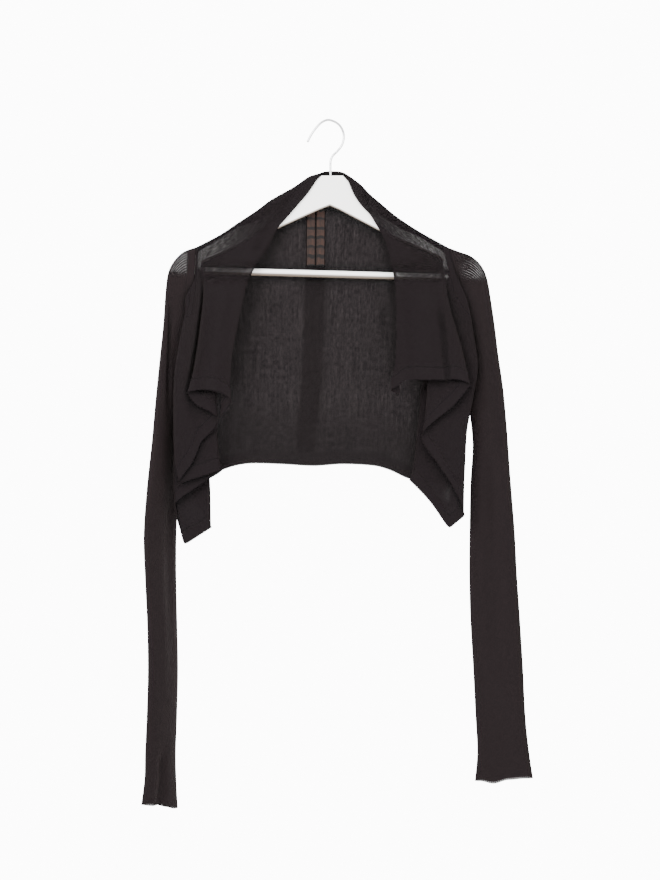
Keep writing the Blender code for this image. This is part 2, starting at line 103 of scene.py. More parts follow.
def eased(low, high, value):
    """0 below low, 1 above high, smooth between."""
    t = min(max((value - low) / (high - low), 0.0), 1.0)
    return t * t * (3 - 2 * t)


def outward(side):
    """The sign of x on this side."""
    return -1.0 if side == "left" else 1.0


print("half way along a test line:", tuple(curve_point(((0, 0), (10, 0), (20, 0)), 0.5)))

# %% [markdown]
# ## The lines that the pieces share
# The shoulder line and the armhole are seams, so the front, the back and the sleeve all start from them.
# Sizes are in millimetres, x to the right and z up from the inside top of the hook.

# %% Shoulder, armhole and side seams
RIDGE = {
    "left": ((-13, -88), (-32, -94), (-53, -109), (-97, -134), (-118, -150), (-150, -171), (-178, -190),
             (-204, -204), (-222, -213)),
    "right": ((31, -89), (43, -97), (58, -109), (70, -122), (90, -139), (115, -160), (152, -184.5),
              (190, -206), (205, -214)),
}
ARMHOLE = {
    "left": ((-222, -213), (-222.5, -236), (-224, -262), (-230, -320), (-241, -380), (-252, -424)),
    "right": ((205, -214), (213, -243), (219, -268), (231, -330), (244, -390), (250, -425)),
}
# Half depth of the armhole against the share of the way down it
ARMHOLE_DEPTH = ((0.0, 0.15), (0.0045, 4.6), (0.024, 8.1), (0.07, 9.1), (0.16, 9.6), (0.5, 9.6), (0.85, 8.2),
                 (0.95, 5.0), (1.0, 1.25))
# How far the cloth stands off the hanger's middle against the drop below the shoulder line
ROLL = ((0.0, 0.15), (0.9, 4.6), (5.0, 8.1), (14.0, 9.0), (34.0, 9.6))
# The side seam from the armhole down to the hem, as x and z
SIDE_SEAM = {
    "left": ((-251, -424), (-249, -470), (-247, -530), (-246, -602)),
    "right": ((249, -425), (241, -470), (233, -530), (226, -612)),
}
# Half the gap between front and back at the side seam and at the shoulder, so that the sheets never touch
UNDERARM_HALF_GAP = 1.25
SHOULDER_HALF_GAP = 0.3
ARMHOLE_INSET = 0.3
# How far behind the hanger's middle the back hangs
NECK_OFF_CENTRE = 10.5
# Stations on a panel's upper edge: where its inset starts, where it is sewn to the sleeve and over how much
# that starts, until where the cloth stands proud and over how much that ends, and until where it rolls over
INSET_FROM = 0.95
SEWN_FROM, SEWN_OVER = 0.94, 0.11
PROUD_UNTIL, PROUD_OVER = 1.7, 0.4
ROLL_UNTIL = 1.3
# The two rows next to the edge: inward, down, further down where it is sewn, and how far proud
ROWS_BELOW_EDGE = ((1.2, 0.9, 0.3, 0.4), (2.4, 5.0, -1.8, 1.2))


def armhole_point(side, share, face):
    """A point of the armhole. face is -1 on the front and 1 on the back."""
    x, z = curve_point(ARMHOLE[side], share)
    return Vector((x, face * table_at(ARMHOLE_DEPTH, share), z))


def seam_top(side, station, face):
    """The panel's upper edge: the shoulder line for stations 0 to 1, then the armhole."""
    if station <= 1.0:
        x, z = curve_point(RIDGE[side], station)
        inset = ARMHOLE_INSET * max(0.0, station - INSET_FROM) / (1.0 - INSET_FROM)
        return Vector((x - outward(side) * inset, face * SHOULDER_HALF_GAP, z))
    point = armhole_point(side, station - 1.0, face)
    point.x -= outward(side) * ARMHOLE_INSET
    return point


def shoulder_height(side, x):
    """Height of the shoulder line at x."""
    return table_at(sorted(RIDGE[side]), x)


def leaving_rows(side, station, face):
    """The edge and the two rows next to it, where the cloth rolls over the hanger or leaves the armhole."""
    top = seam_top(side, station, face)
    sewn = min(max((station - SEWN_FROM) / SEWN_OVER, 0.0), 1.0)
    proud = sewn * min(max((PROUD_UNTIL - station) / PROUD_OVER, 0.0), 1.0)
    rows = [top]
    for inward, down, further, extra in ROWS_BELOW_EDGE:
        x = top.x - outward(side) * inward * sewn
        z = top.z - down - further * sewn
        depth = abs(top.y) + extra * proud
        if station < ROLL_UNTIL:
            depth = max(depth, table_at(ROLL, shoulder_height(side, x) - z))
        rows.append(Vector((x, face * depth, z)))
    return rows


for side in RIDGE:
    tip, underarm = seam_top(side, 1.0, -1), seam_top(side, 2.0, -1)
    print(side, "armhole drop in mm:", round(tip.z - underarm.z))

# %% [markdown]
# ## Turning rows of points into cloth
# Every piece of cloth is a grid of rows that run down from a seam. The grid carries its own sizes: a UV map
# in metres across and down the knit, so that ribs follow the cloth round each fold, and three attributes
# that a maker would chalk on it: how doubled the cloth is, how far it is stretched open, and the drop from
# its seam. Solidify gives the grid the thickness of the knit. Operators could cut these sheets too, but not
# to a table of fold lines.

# %% Make a sheet
KNIT_WALL = 0.6


def grid_sheet(name, rows, closed=False, double=None, opened=None):
    """A sheet through rows of points in mm. double and opened take a point's row and column and its way in
    mm from the top and to the hem, and give how doubled and how stretched it is there."""
    made = bmesh.new()
    doubled = made.verts.layers.float.new("double")
    stretched = made.verts.layers.float.new("opened")
    drop = made.verts.layers.float.new("drop")
    uv = made.loops.layers.uv.new("cloth")
    count = len(rows[0])
    across = [0.0]
    for i in range(1, count + 1):
        steps = [(row[i % count] - row[i - 1]).length for row in rows[len(rows) // 3:]]
        across.append(across[-1] + sum(steps) / len(steps) * MM)
    down = [[0.0] * count]
    for upper, lower in zip(rows, rows[1:]):
        down.append([v + (b - a).length * MM for v, a, b in zip(down[-1], upper, lower)])
    total = down[-1]
    lines = []
    for j, row in enumerate(rows):
        line = []
        for i, point in enumerate(row):
            vert = made.verts.new(point * MM)
            for layer, chalk in ((doubled, double), (stretched, opened)):
                vert[layer] = chalk(j, i, down[j][i] / MM, (total[i] - down[j][i]) / MM) if chalk else 0.0
            vert[drop] = down[j][i]
            line.append(vert)
        lines.append(line)
    for j in range(len(rows) - 1):
        for i in range(count if closed else count - 1):
            n = (i + 1) % count
            face = made.faces.new((lines[j][i], lines[j + 1][i], lines[j + 1][n], lines[j][n]))
            corners = ((i, j), (i, j + 1), (i + 1, j + 1), (i + 1, j))
            for loop, (a, b) in zip(face.loops, corners):
                loop[uv].uv = (across[a], total[a % count] - down[b][a % count])
            face.smooth = True
    bmesh.ops.recalc_face_normals(made, faces=made.faces)
    mesh = bpy.data.meshes.new(name)
    made.to_mesh(mesh)
    made.free()
    piece = bpy.data.objects.new(name, mesh)
    bpy.context.scene.collection.objects.link(piece)
    return piece


def give_wall(piece, thickness=KNIT_WALL):
    """The sheet thickened by as much to either side."""
    wall = piece.modifiers.new("Wall", "SOLIDIFY")
    wall.thickness = thickness * MM
    wall.offset = 0.0
    wall.use_rim = True
    bpy.context.view_layer.objects.active = piece
    bpy.ops.object.modifier_apply(modifier=wall.name)
    return piece


def cloth_area(rows, closed=False):
    """Area of a grid of points in square metres, to state the cut of the piece."""
    area = 0.0
    for upper, lower in zip(rows, rows[1:]):
        for i in range(len(upper) if closed else len(upper) - 1):
            n = (i + 1) % len(upper)
            area += ((upper[n] - upper[i]).cross(lower[i] - upper[i])).length / 2
            area += ((lower[n] - lower[i]).cross(lower[n] - upper[n])).length / 2
    return area * MM * MM


print("knit wall in mm:", KNIT_WALL, "and area of a test square:",
      cloth_area([[Vector((x, 0, z)) for x in (0, 1000)] for z in (0, 1000)]))

# %% [markdown]
# ## The draped fronts
# Each front is a wide piece with no fastening. It leaves the shoulder flat, turns back as a lapel and falls
# in a stack of folds down to a pointed corner. The table names every fold line from the free edge round to
# the side. A line starts at a station on the shoulder seam, 0 to 1, or on down the armhole, 1 to 2. Between
# two lines the cloth crosses over, and depth turns fast where the line is a fold.

# %% Fold lines of the fronts
FOLDS = {
    "left": (
        ("turned_edge", "plain", 0.0, ((-33, -8.6, -122), (-50, -8.8, -142), (-69, -9.2, -164),
         (-86, -10, -184), (-101, -13.5, -211), (-116, -16, -233), (-130, -20, -258), (-141, -25, -283),
         (-149, -32, -318), (-158, -38, -358), (-168, -43, -405), (-174, -46, -455), (-178, -48, -500))),
        ("free_edge", "fold", 0.03, ((-32, -9.4, -119), (-48, -9.8, -139), (-67, -10.4, -161),
         (-83, -11.5, -181), (-96, -15, -208), (-110, -18, -229), (-124, -23, -254), (-134, -29, -278),
         (-141, -37, -312), (-149, -44, -350), (-157, -50, -395), (-160, -54, -445), (-159, -56, -474))),
        ("lapel_middle", "plain", 0.5, ((-128, -10, -185), (-145, -16, -225), (-162, -26, -270),
         (-172, -37, -320), (-184, -47, -385), (-197, -53, -455))),
        ("lapel_fold", "fold", 0.88, ((-206, -12, -234), (-208, -19, -262), (-210, -29, -307),
         (-217, -38, -366), (-226, -44, -423), (-235, -48, -459))),
        ("second_fold", "fold", 0.99, ((-214, -11.5, -240), (-211, -16, -262), (-204, -23, -307),
         (-197, -31, -366), (-190, -37, -430), (-181, -41, -502))),
        ("lapel_valley", "plain", 1.06, ((-214, -12, -252), (-209, -16, -275), (-209, -20, -310),
         (-213, -26, -366), (-221, -31, -423), (-225, -33, -462), (-199, -34, -530))),
        ("lapel_ridge", "plain", 1.16, ((-220, -13, -270), (-214.5, -23, -300), (-217, -30, -330),
         (-223.5, -35, -380), (-232, -38, -425), (-237, -39, -460), (-217, -36, -556))),
        ("third_fold", "fold", 1.3, ((-239, -16, -296), (-242, -19, -326), (-247, -21, -350),
         (-254, -25, -390), (-259.5, -29, -440), (-260, -32, -520), (-258, -34, -575), (-251, -34, -612))),
        ("fourth_fold", "fold", 1.46, ((-218, -13, -328), (-206, -15.5, -356), (-191, -20, -400),
         (-183, -23, -450), (-182, -26, -520), (-175, -27, -588))),
        ("fifth_fold", "fold", 1.6, ((-233, -13, -370), (-241, -14, -398), (-250, -16.5, -440),
         (-256, -18.5, -500), (-258.5, -20, -570), (-258, -20, -646))),
        ("corner_outer", "plain", 1.74, ((-236, -9.5, -396), (-240, -10, -436), (-246, -11.5, -500),
         (-252, -13, -600), (-256, -14, -664), (-241, -14, -715))),
        ("corner_inner", "fold", 1.87, ((-237, -7, -416), (-222, -6.5, -454), (-205, -6.5, -520),
         (-196, -6.5, -610), (-194.5, -6.5, -685))),
    ),
    "right": (
        ("turned_edge", "plain", 0.0, ((45, -8.6, -124), (58, -8.8, -144), (72, -9.2, -159),
         (82, -9.6, -174), (91, -10, -189), (102, -13.5, -211), (110, -17, -236), (115, -22, -261),
         (120, -27, -288), (122, -33, -324), (124, -38, -365), (123, -44, -414), (120, -48, -444),
         (119, -50, -464))),
        ("free_edge", "fold", 0.03, ((43, -9.4, -122), (56, -9.8, -142), (70, -10.4, -156), (79, -11, -171),
         (88, -11.5, -186), (98, -15, -207), (105, -19, -232), (109, -25, -257), (113, -31, -284),
         (114, -38, -320), (114, -44, -361), (111, -51, -410), (104, -54, -440), (105, -56, -456))),
        ("lapel_inner", "plain", 0.36, ((97, -10, -176), (114, -15, -215), (125, -24, -260),
         (131, -36, -320), (135, -46, -380), (139, -54, -438))),
        ("lapel_middle", "plain", 0.7, ((162, -10.5, -218), (168, -18, -255), (178, -32, -310),
         (190, -42, -370), (198, -51, -439))),
        ("lapel_fold", "fold", 0.89, ((194, -12, -234), (196, -19, -260), (202, -27, -290),
         (211, -34, -330), (226, -41, -383), (240, -47, -446))),
        ("second_fold", "fold", 0.99, ((204, -12, -242), (204, -16, -268), (199, -21, -305),
         (184, -29, -360), (166, -35, -430), (161, -38, -482), (154, -40, -534))),
        ("third_fold", "fold", 1.3, ((235, -17, -302), (242, -19, -326), (247, -21, -351), (255, -26, -412),
         (250, -28, -446), (242, -30, -489), (236, -32, -522), (233, -33, -572), (231, -33, -614),
         (230, -33, -664))),
        ("corner", "plain", 1.46, ((223, -13.5, -332), (219, -15, -370), (214, -18, -430), (210, -22, -520),
         (207, -25, -600), (203, -26, -687))),
        ("inner_fold", "fold", 1.64, ((226, -12, -366), (186, -11.5, -402), (158, -11.5, -440),
         (153, -12, -487), (148, -13, -530), (143, -14, -575), (136, -14, -604))),
    ),
}
# The hem from a fold line's lower end to the next one's, as x and z, where it bows and isn't straight
HEM_LINES = {
    "left": {
        "free_edge": ((-159, -474), (-163, -468), (-178, -460), (-197, -455)),
        "lapel_middle": ((-197, -455), (-215, -455), (-235, -459)),
        "lapel_fold": ((-235, -459), (-219, -481), (-196, -490), (-181, -502)),
        "second_fold": ((-181, -502), (-187, -517), (-199, -530)),
        "lapel_valley": ((-199, -530), (-211, -542), (-217, -556)),
        "lapel_ridge": ((-217, -556), (-225, -576), (-242, -599), (-251, -612)),
        "fourth_fold": ((-175, -588), (-186, -597), (-201, -604), (-225, -622), (-244, -633), (-258, -646)),
    },
    "right": {
        "free_edge": ((105, -456), (115, -450), (125, -441), (139, -438)),
        "lapel_middle": ((198, -439), (212, -437), (230, -441), (240, -446)),
        "lapel_fold": ((240, -446), (224, -463), (217, -477), (202, -490), (181, -503), (164, -518),
            (154, -534)),
        "second_fold": ((154, -534), (163, -550), (177, -570), (190, -584), (202, -605), (217, -626),
            (222, -640), (230, -664)),
        "corner": ((203, -687), (187, -663), (175, -645), (157, -625), (136, -604)),
    },
}
print("fold lines:", {side: [row[0] for row in rows] for side, rows in FOLDS.items()})

# %% Creases of the lapels
# Side, half width, depth (a trough is above 0), and the line as x and z
LAPEL_CREASES = (
    ("right", 2.4, 2.8, ((38, -93), (52, -107), (63, -121), (67, -134), (68, -147), (71, -157))),
    ("right", 3.6, 5.0, ((188, -300), (191, -339), (196, -390), (201, -442))),
    ("right", 9.0, 2.6, ((138, -250), (141, -330), (146, -442))),
    ("right", 7.0, -2.4, ((164, -280), (168, -360), (172, -442))),
    ("left", 6.0, 2.4, ((-40, -104), (-70, -140), (-98, -178), (-118, -216))),
    ("left", 8.0, -2.6, ((-168, -270), (-178, -340), (-186, -458))),
    ("left", 7.0, 2.8, ((-190, -300), (-201, -380), (-212, -458))),
)
# A crease reaches its depth this share of its length in from its end
CREASE_END = 0.25


def crease_shape(off):
    """1 on the line of a crease, and 0 from twice its half width on."""
    return 0.5 + 0.5 * math.cos(math.pi * off / 2) if off < 2 else 0.0


def lapel_crease(side, point):
    """How far the lapel's creases set it back at this place."""
    back_by = 0.0
    for on, half, depth, line in LAPEL_CREASES:
        top, end = line[0][1], line[-1][1]
        if on == side and end < point.z < top:
            t = (top - point.z) / (top - end)
            off = abs(point.x - table_at(sorted((z, x) for x, z in line), point.z)) / half
            back_by += depth * min(1.0, t / CREASE_END) * crease_shape(off)
    return back_by


print("lapel creases:", len(LAPEL_CREASES))

# %% Loft the fronts
# Cells from one fold line to the next, and rows from the seam to the hem
CELLS = 16
FRONT_ROWS = 110
# Share of the way down at which the folds are full, and the distance between two lines that lets them be
FOLDED_FROM = 0.45
OPEN_SPREAD = 45.0
# How fast depth turns at a fold and at a plain line
FOLD_TURN, PLAIN_TURN = 5.0, 1.5
# How closely the rows keep to the seam's roll and to the bow of the hem
SEAM_HOLD, HEM_HOLD = 6, 5.0
RELAX_ROWS, RELAX_HEM = 10, 3
# The cells that carry the lapel's creases, and the rows over which these start
LAPEL_FOLDS = 4
CREASES_START = 4


def across_fold(t, left_kind, right_kind):
    """Shares of the way across in the cloth's plane and in depth."""
    start = 0.0 if left_kind == "fold" else 1.0
    end = 0.0 if right_kind == "fold" else 1.0
    plane = (3 * t ** 2 - 2 * t ** 3) + start * (t ** 3 - 2 * t ** 2 + t) + end * (t ** 3 - t ** 2)
    kind = left_kind if t < 0.5 else right_kind
    bend = 0.5 * abs(2 * t - 1) ** (FOLD_TURN if kind == "fold" else PLAIN_TURN)
    return plane, (0.5 - bend if t < 0.5 else 0.5 + bend)


def relaxed(row, times):
    """The row with each inner point drawn half way to the middle of its neighbours."""
    for _ in range(times):
        row = [row[0]] + [(a + c) * 0.25 + b * 0.5 for a, b, c in zip(row, row[1:], row[2:])] + [row[-1]]
    return row


def front_rows(side):
    """Points of a front, row by row from the shoulder to the hem."""
    down = [k / FRONT_ROWS for k in range(FRONT_ROWS + 1)]
    folds = list(FOLDS[side])
    seam = [Vector((x, -UNDERARM_HALF_GAP, z)) for x, z in SIDE_SEAM[side]]
    lines = []
    for _, _, station, points in folds:
        lines.append([leaving_rows(side, station, -1)[2]] + [Vector(p) for p in points])
    lines.append(seam)
    read = [[curve_point(line, w) for w in down] for line in lines]
    columns = []
    for k in range(len(folds)):
        last = k == len(folds) - 1
        name, kind, station = folds[k][:3]
        hem_line = HEM_LINES[side].get(name)
        next_kind, next_station = ("plain", 2.0) if last else folds[k + 1][1:3]
        for i in range(CELLS + 1 if last else CELLS):
            even = i / CELLS
            head = leaving_rows(side, station + (next_station - station) * even, -1)
            if last and i == CELLS:
                head = [seam_top(side, 2.0, -1)] * 3
            column = []
            bow = Vector((0, 0, 0))
            if hem_line:
                plane = across_fold(even, kind, next_kind)[0]
                x, z = curve_point(hem_line, plane)
                low = read[k][-1].lerp(read[k + 1][-1], plane)
                bow = Vector((x - low.x, 0, z - low.z))
            for w, a, b in zip(down, read[k], read[k + 1]):
                folded = min(1.0, w / FOLDED_FROM) ** 2 * min(1.0, abs(b.x - a.x) / OPEN_SPREAD) ** 2
                plane, depth = across_fold(even, kind, next_kind)
                plane = even + (plane - even) * folded
                depth = even + (depth - even) * folded
                point = a.lerp(b, plane)
                point.y = a.y + (b.y - a.y) * depth
                if w == 0.0:
                    miss = head[2] - point
                point += miss * (1 - w) ** SEAM_HOLD + bow * w ** HEM_HOLD
                column.append(point)
            if last and i == CELLS:
                step = (column[1] - column[0]) / 3
                head = [column[0], column[0] + step, column[0] + step * 2]
                column[0] = head[2]
            columns.append(head[:2] + column)
    rows = [[column[j] for column in columns] for j in range(len(columns[0]))]
    rows = [rows[0]] + [relaxed(row, RELAX_ROWS) for row in rows[1:-1]] + [relaxed(rows[-1], RELAX_HEM)]
    for j, row in enumerate(rows):
        for point in row[CELLS:CELLS * LAPEL_FOLDS]:
            point.y += lapel_crease(side, point) * eased(0, CREASES_START, j)
    return rows


FRONT_GRIDS = {side: front_rows(side) for side in FOLDS}
print("front rows and columns:", {side: (len(grid), len(grid[0])) for side, grid in FRONT_GRIDS.items()})

# %% [markdown]
# ## Doubled and stretched cloth
# A hem turned up and the allowance of a seam are two layers, so they look nearly black, and cloth that is
# pulled over the end of a hanger opens and lets light through. A mask could be painted by hand, but a rule
# in millimetres from the edge gives a band that is even and keeps its width on every piece.

# %% Where the fronts are doubled and stretched
HEM_BAND, HEM_SOFT = 22.0, 0.6
SEAM_BAND, SEAM_SOFT = 6.0, 1.0
# Reach in mm of the dark armhole seam on the front and on the sleeve
ARMHOLE_BAND = {"left": (4.0, 13.0), "right": (11.0, 4.0)}
# The part of a front that is near its armhole: less than this from the top and more than this off centre
ARMHOLE_DROP, ARMHOLE_OFF = 70, 180
# Shares of the shoulder line between which the knit goes from closed at the neck to stretched at the tip
SHEER_SHOULDER = {"left": (0.0, 1.1), "right": (-0.3, 0.95)}
# Drop below the shoulder line over which it closes up again
SHEER_DROP = (35, 46)
# How far it is stretched over the trouser bar, between which shares of the shoulder and at which heights
OVER_BAR = 0.78
BAR_SHARES = (0.35, 0.5, 0.9, 0.95)
BAR_HEIGHTS = (-276, -266, -244, -236)
# Points that stand for the armhole's line, and how soft a thin spot is as a share of its radius
ARMHOLE_STEPS = 40
SPOT_SOFT = 0.3
# Small places where the right front's knit is pulled open: first fold, x, z, radius, by how much
THIN_SPOTS = ((0, 200.0, -263.0, 3.4, 2.1), (7, 208.0, -630.0, 13.0, 0.3), (7, 216.0, -631.0, 2.4, 0.7))


def within(reach, soft, off):
    """1 nearer than reach and 0 beyond it, with an edge as soft as this to either side."""
    return 1.0 - eased(reach - soft, reach + soft, off)


def plateau(start, full, wane, end, value):
    """0 before start, 1 from full to wane, and 0 after end."""
    return eased(start, full, value) * (1.0 - eased(wane, end, value))


def armhole_gap(side, point):
    """Distance in the front view from the armhole seam."""
    line = [curve_point(ARMHOLE[side], k / ARMHOLE_STEPS) for k in range(ARMHOLE_STEPS + 1)]
    return min(math.hypot(point.x - x, point.z - z) for x, z in line)


def front_double(side, rows):
    """Where a front is doubled: its hem band, and a narrow allowance along its seams."""
    def double(j, i, from_top, to_hem):
        point = rows[j][i]
        made = max(within(HEM_BAND, HEM_SOFT, to_hem), within(SEAM_BAND, SEAM_SOFT, from_top))
        if from_top < ARMHOLE_DROP and abs(point.x) > ARMHOLE_OFF:
            made = max(made, within(ARMHOLE_BAND[side][0], SEAM_SOFT, armhole_gap(side, point)))
        return made
    return double


def front_opened(side, rows):
    """The knit is stretched thin over the shoulder's end, less over the trouser bar, and closes below it."""
    tip, neck = RIDGE[side][-1][0], RIDGE[side][0][0]

    def opened(j, i, from_top, to_hem):
        point = rows[j][i]
        share = (point.x - neck) / (tip - neck)
        drop = shoulder_height(side, point.x) - point.z
        shoulder = eased(*SHEER_SHOULDER[side], share) * (1.0 - eased(*SHEER_DROP, drop))
        thin = max(shoulder, OVER_BAR * plateau(*BAR_SHARES, share) * plateau(*BAR_HEIGHTS, point.z))
        for first, x, z, radius, much in THIN_SPOTS:
            if i >= first * CELLS:
                off = math.hypot(point.x - x, point.z - z)
                thin = max(thin, much * within(radius, SPOT_SOFT * radius, off))
        return thin
    return opened


print("hem band in mm:", HEM_BAND)

# %% Sew the fronts
fronts = {}
for side, rows in FRONT_GRIDS.items():
    piece = grid_sheet("front_" + side + "_knit", rows, double=front_double(side, rows),
                       opened=front_opened(side, rows))
    area = cloth_area(rows)
    fronts[side] = give_wall(piece)
    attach(piece, "root")
    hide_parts("front_" + side)
    hem = sum((b - a).length for a, b in zip(rows[-1], rows[-1][1:]))
    print(side, "front: area", round(area, 3), "hem in mm", round(hem))

# %% [markdown]
# ## The back
# One single layer from armhole to armhole, thin enough to let light through, with its hem turned up as a
# 22 mm band. It hangs from the shoulder seams and the neck edge, which rises behind the hanger's hook.

# %% Loft the back
BACK_HEM = ((-246, 1, -602), (-225, 8, -600), (-200, 12, -597), (-161, 14, -583), (-131, 11, -578),
            (-80, 14, -579), (-21, 11, -582), (24, 13, -579), (80, 11, -582), (105, 14, -589),
            (139, 12, -604), (185, 12, -612), (210, 8, -613), (226, 1, -612))
# Share of the hem's half length that a station's column reaches
BACK_HEM_REACH = ((-1.0, 0.04), (0.0, 0.10), (0.9, 0.68), (1.0, 0.74), (1.22, 0.82), (1.4, 0.87), (1.7, 0.94),
                  (2.0, 1.0))
# The middle of the neck edge
NECK_EDGE_Z = -83.0
NECK_MIDDLE_X = 8.5
# The two rows below the neck edge, moved off it
NECK_ROLL = ((0, 0.1, -3), (0, 0.2, -8))
# Height in mm of the soft waves that run down the back, and their pace across it
BACK_WAVE = 1.6
BACK_WAVES = 0.045
BACK_ROWS = 120
# How fast a column draws in to its place on the hem, how soon it hangs flat, and how near the side seam
DRAWN_IN, FLAT_SOON, FLAT_NEAR_SIDE = 2.5, 10, 4


def back_edge(side, station):
    """The rows next to the back's upper edge. Stations from -1 to 0 run along the neck from its middle."""
    if station >= 0.0:
        return leaving_rows(side, station, 1)
    corner = seam_top(side, 0.0, 1)
    middle = Vector((NECK_MIDDLE_X, NECK_OFF_CENTRE, NECK_EDGE_Z))
    t = station + 1.0
    bend = t ** 4
    point = Vector((middle.x + (corner.x - middle.x) * t,
                    middle.y + (corner.y - middle.y) * bend,
                    middle.z + (corner.z - middle.z) * bend))
    roll = [point] + [point + Vector(off) for off in NECK_ROLL]
    return [a.lerp(b, bend) for a, b in zip(roll, leaving_rows(side, 0.0, 1))]


def back_stations():
    """Stations of the back's columns, closer at the corner of the neck and at the tip of the shoulder."""
    fine = [-0.9, -0.75, -0.6, -0.45, -0.3, -0.2, -0.12, -0.06, -0.02]
    fine += [k / 40 for k in range(39)] + [0.97, 0.985, 1.0, 1.0125, 1.0245, 1.04, 1.057, 1.075, 1.095]
    fine += [1.12 + 0.04 * k for k in range(22)] + [2.0]
    return fine


def back_rows():
    """Points of the back, row by row from its upper edge to the hem."""
    down = [k / BACK_ROWS for k in range(BACK_ROWS + 1)]
    stations = [("left", s) for s in reversed(back_stations())] + [("left", -1.0)]
    stations += [("right", s) for s in back_stations()]
    columns = []
    for side, station in stations:
        low = curve_point(BACK_HEM, 0.5 + outward(side) * table_at(BACK_HEM_REACH, station) / 2)
        if station == 2.0:
            seam = [Vector((x, UNDERARM_HALF_GAP, z)) for x, z in SIDE_SEAM[side]]
            column = [curve_point(seam, w) for w in down]
            step = (column[1] - column[0]) / 3
            columns.append([column[0], column[0] + step, column[0] + step * 2] + column[1:])
            continue
        head = back_edge(side, station)
        column = []
        for w in down:
            point = head[2].lerp(low, w)
            point.x = head[2].x + (low.x - head[2].x) * (1 - (1 - w) ** DRAWN_IN)
            wave = BACK_WAVE * math.sin(point.x * BACK_WAVES) * w
            flat = min(1.0, w * FLAT_SOON) * (1 - w) ** 0.5 * min(1.0, (2.0 - station) * FLAT_NEAR_SIDE)
            point.y += (NECK_OFF_CENTRE + wave - point.y) * flat
            column.append(point)
        columns.append(head[:2] + column)
    return [[column[j] for column in columns] for j in range(len(columns[0]))]


BACK_GRID = back_rows()
print("back rows and columns:", len(BACK_GRID), len(BACK_GRID[0]))

# %% Where the back is doubled, where painted shadow darkens it, and where it is stretched
# Painted shadow of the fronts on the back: x of the fronts' edge at a height, lowest first
FRONT_SHADOW_LEFT = ((-612, -176), (-480, -172), (-395, -158), (-302, -139), (-226, -110), (-181, -83))
FRONT_SHADOW_RIGHT = ((-612, 141), (-550, 148), (-487, 160), (-440, 160), (-420, 113), (-268, 112),
                 (-217, 101), (-168, 76))
# How much the painted shadow of each front darkens the back, over how many mm, and the heights where it fades
LEFT_SHADOW_DARK, LEFT_OVER, LEFT_FADES = 0.3, 26, (-500, -440)
RIGHT_SHADOW_DARK, RIGHT_OVER, RIGHT_WIDER, RIGHT_FADES = 0.4, 10, 6, (-460, -430)
# How far the hem band closes up the back, how much darker the cloth is made towards the hem and over how many
# mm, and how far the strip sewn behind the back closes it up, with the strip's left edge
HEM_CLOSES = 0.7
LOW_CLOSES, LOW_OVER = 0.3, (20, 120)
STRIP_CLOSES = 0.38
STRIP_LEFT_EDGE = ((-36, -99), (-36, -124), (-36.5, -156), (-37, -195), (-38, -268), (-40, -361),
                   (-43, -430), (-51, -507), (-54, -560))
STRIP_WIDTH = 33.0
# How far the back is stretched over the shoulders, and between which shares of the shoulder line
BACK_STRETCH, BACK_SHARES = 0.7, (0.1, 0.85)


def back_double_and_shadow(j, i, from_top, to_hem):
    """The hem band and seams are doubled, and the cloth closes up over the strip. Painted shadow: beside the
    fronts' edges it closes up too, so it looks darker there. It is also darker towards the hem."""
    point = BACK_GRID[j][i]
    low = LOW_CLOSES * (1.0 - eased(*LOW_OVER, to_hem))
    by_left = point.x - table_at(FRONT_SHADOW_LEFT, point.z)
    by_right = table_at(FRONT_SHADOW_RIGHT, point.z) - point.x
    right_over = RIGHT_OVER + RIGHT_WIDER * (1.0 - eased(*RIGHT_FADES, point.z))
    # Painted shadow: the back is made more opaque, so darker, beside the edges of the fronts
    front_shadow = max(LEFT_SHADOW_DARK * (1.0 - eased(0, LEFT_OVER, by_left)) * eased(*LEFT_FADES, point.z),
                  RIGHT_SHADOW_DARK * (1.0 - eased(0, right_over, by_right)))
    inside = point.x - table_at([(z, x) for x, z in reversed(STRIP_LEFT_EDGE)], point.z)
    lined = STRIP_CLOSES if 0.0 < inside < STRIP_WIDTH and point.z < STRIP_LEFT_EDGE[0][1] else 0.0
    return max(HEM_CLOSES * within(HEM_BAND, HEM_SOFT, to_hem), within(SEAM_BAND, SEAM_SOFT, from_top),
               low, front_shadow, lined)


def back_opened(j, i, from_top, to_hem):
    """The back is stretched over the shoulders as the fronts are."""
    point = BACK_GRID[j][i]
    side = "left" if point.x < NECK_MIDDLE_X else "right"
    tip, neck = RIDGE[side][-1][0], RIDGE[side][0][0]
    drop = shoulder_height(side, point.x) - point.z
    share = (point.x - neck) / (tip - neck)
    return BACK_STRETCH * eased(*BACK_SHARES, share) * (1.0 - eased(*SHEER_DROP, drop))


back = grid_sheet("back_panel_knit", BACK_GRID, double=back_double_and_shadow, opened=back_opened)
back_area = cloth_area(BACK_GRID)
give_wall(back)
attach(back, "root")
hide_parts("back_panel")
print("back: area", round(back_area, 3))

# %% [markdown]
# ## The centre-back strip and the bare label
# A second layer 33 mm wide runs down the centre back and shows as a darker band. Two narrow satin tapes
# hang inside the neck as a bare label. Each is made from the back's own points, moved off it, as it would
# lie.

# %% Strips that lie on the back
TAPE_WIDTH = 13.5
TAPE_WALL = 0.5
# The strip lies behind the back, the tapes before it
STRIP_LIFT, TAPE_LIFT = 1.1, -1.2
# Left edge of each tape at its foot, and how it leans: off x, at z
TAPE_FEET = {"left": -35.0, "right": -18.7}
TAPE_LEAN = ((0.5, -124), (0.4, -145), (0.2, -175), (0, -244))


def back_depth(x, z):
    """Depth of the back at x, z, read from its own rows."""
    crossed = []
    for row in BACK_GRID:
        for a, b in zip(row, row[1:]):
            if a.x <= x <= b.x:
                crossed.append(a.lerp(b, (x - a.x) / (b.x - a.x)))
                break
    for upper, lower in zip(crossed, crossed[1:]):
        if upper.z >= z >= lower.z:
            return upper.lerp(lower, (upper.z - z) / (upper.z - lower.z)).y
    return crossed[0].y if z > crossed[0].z else crossed[-1].y


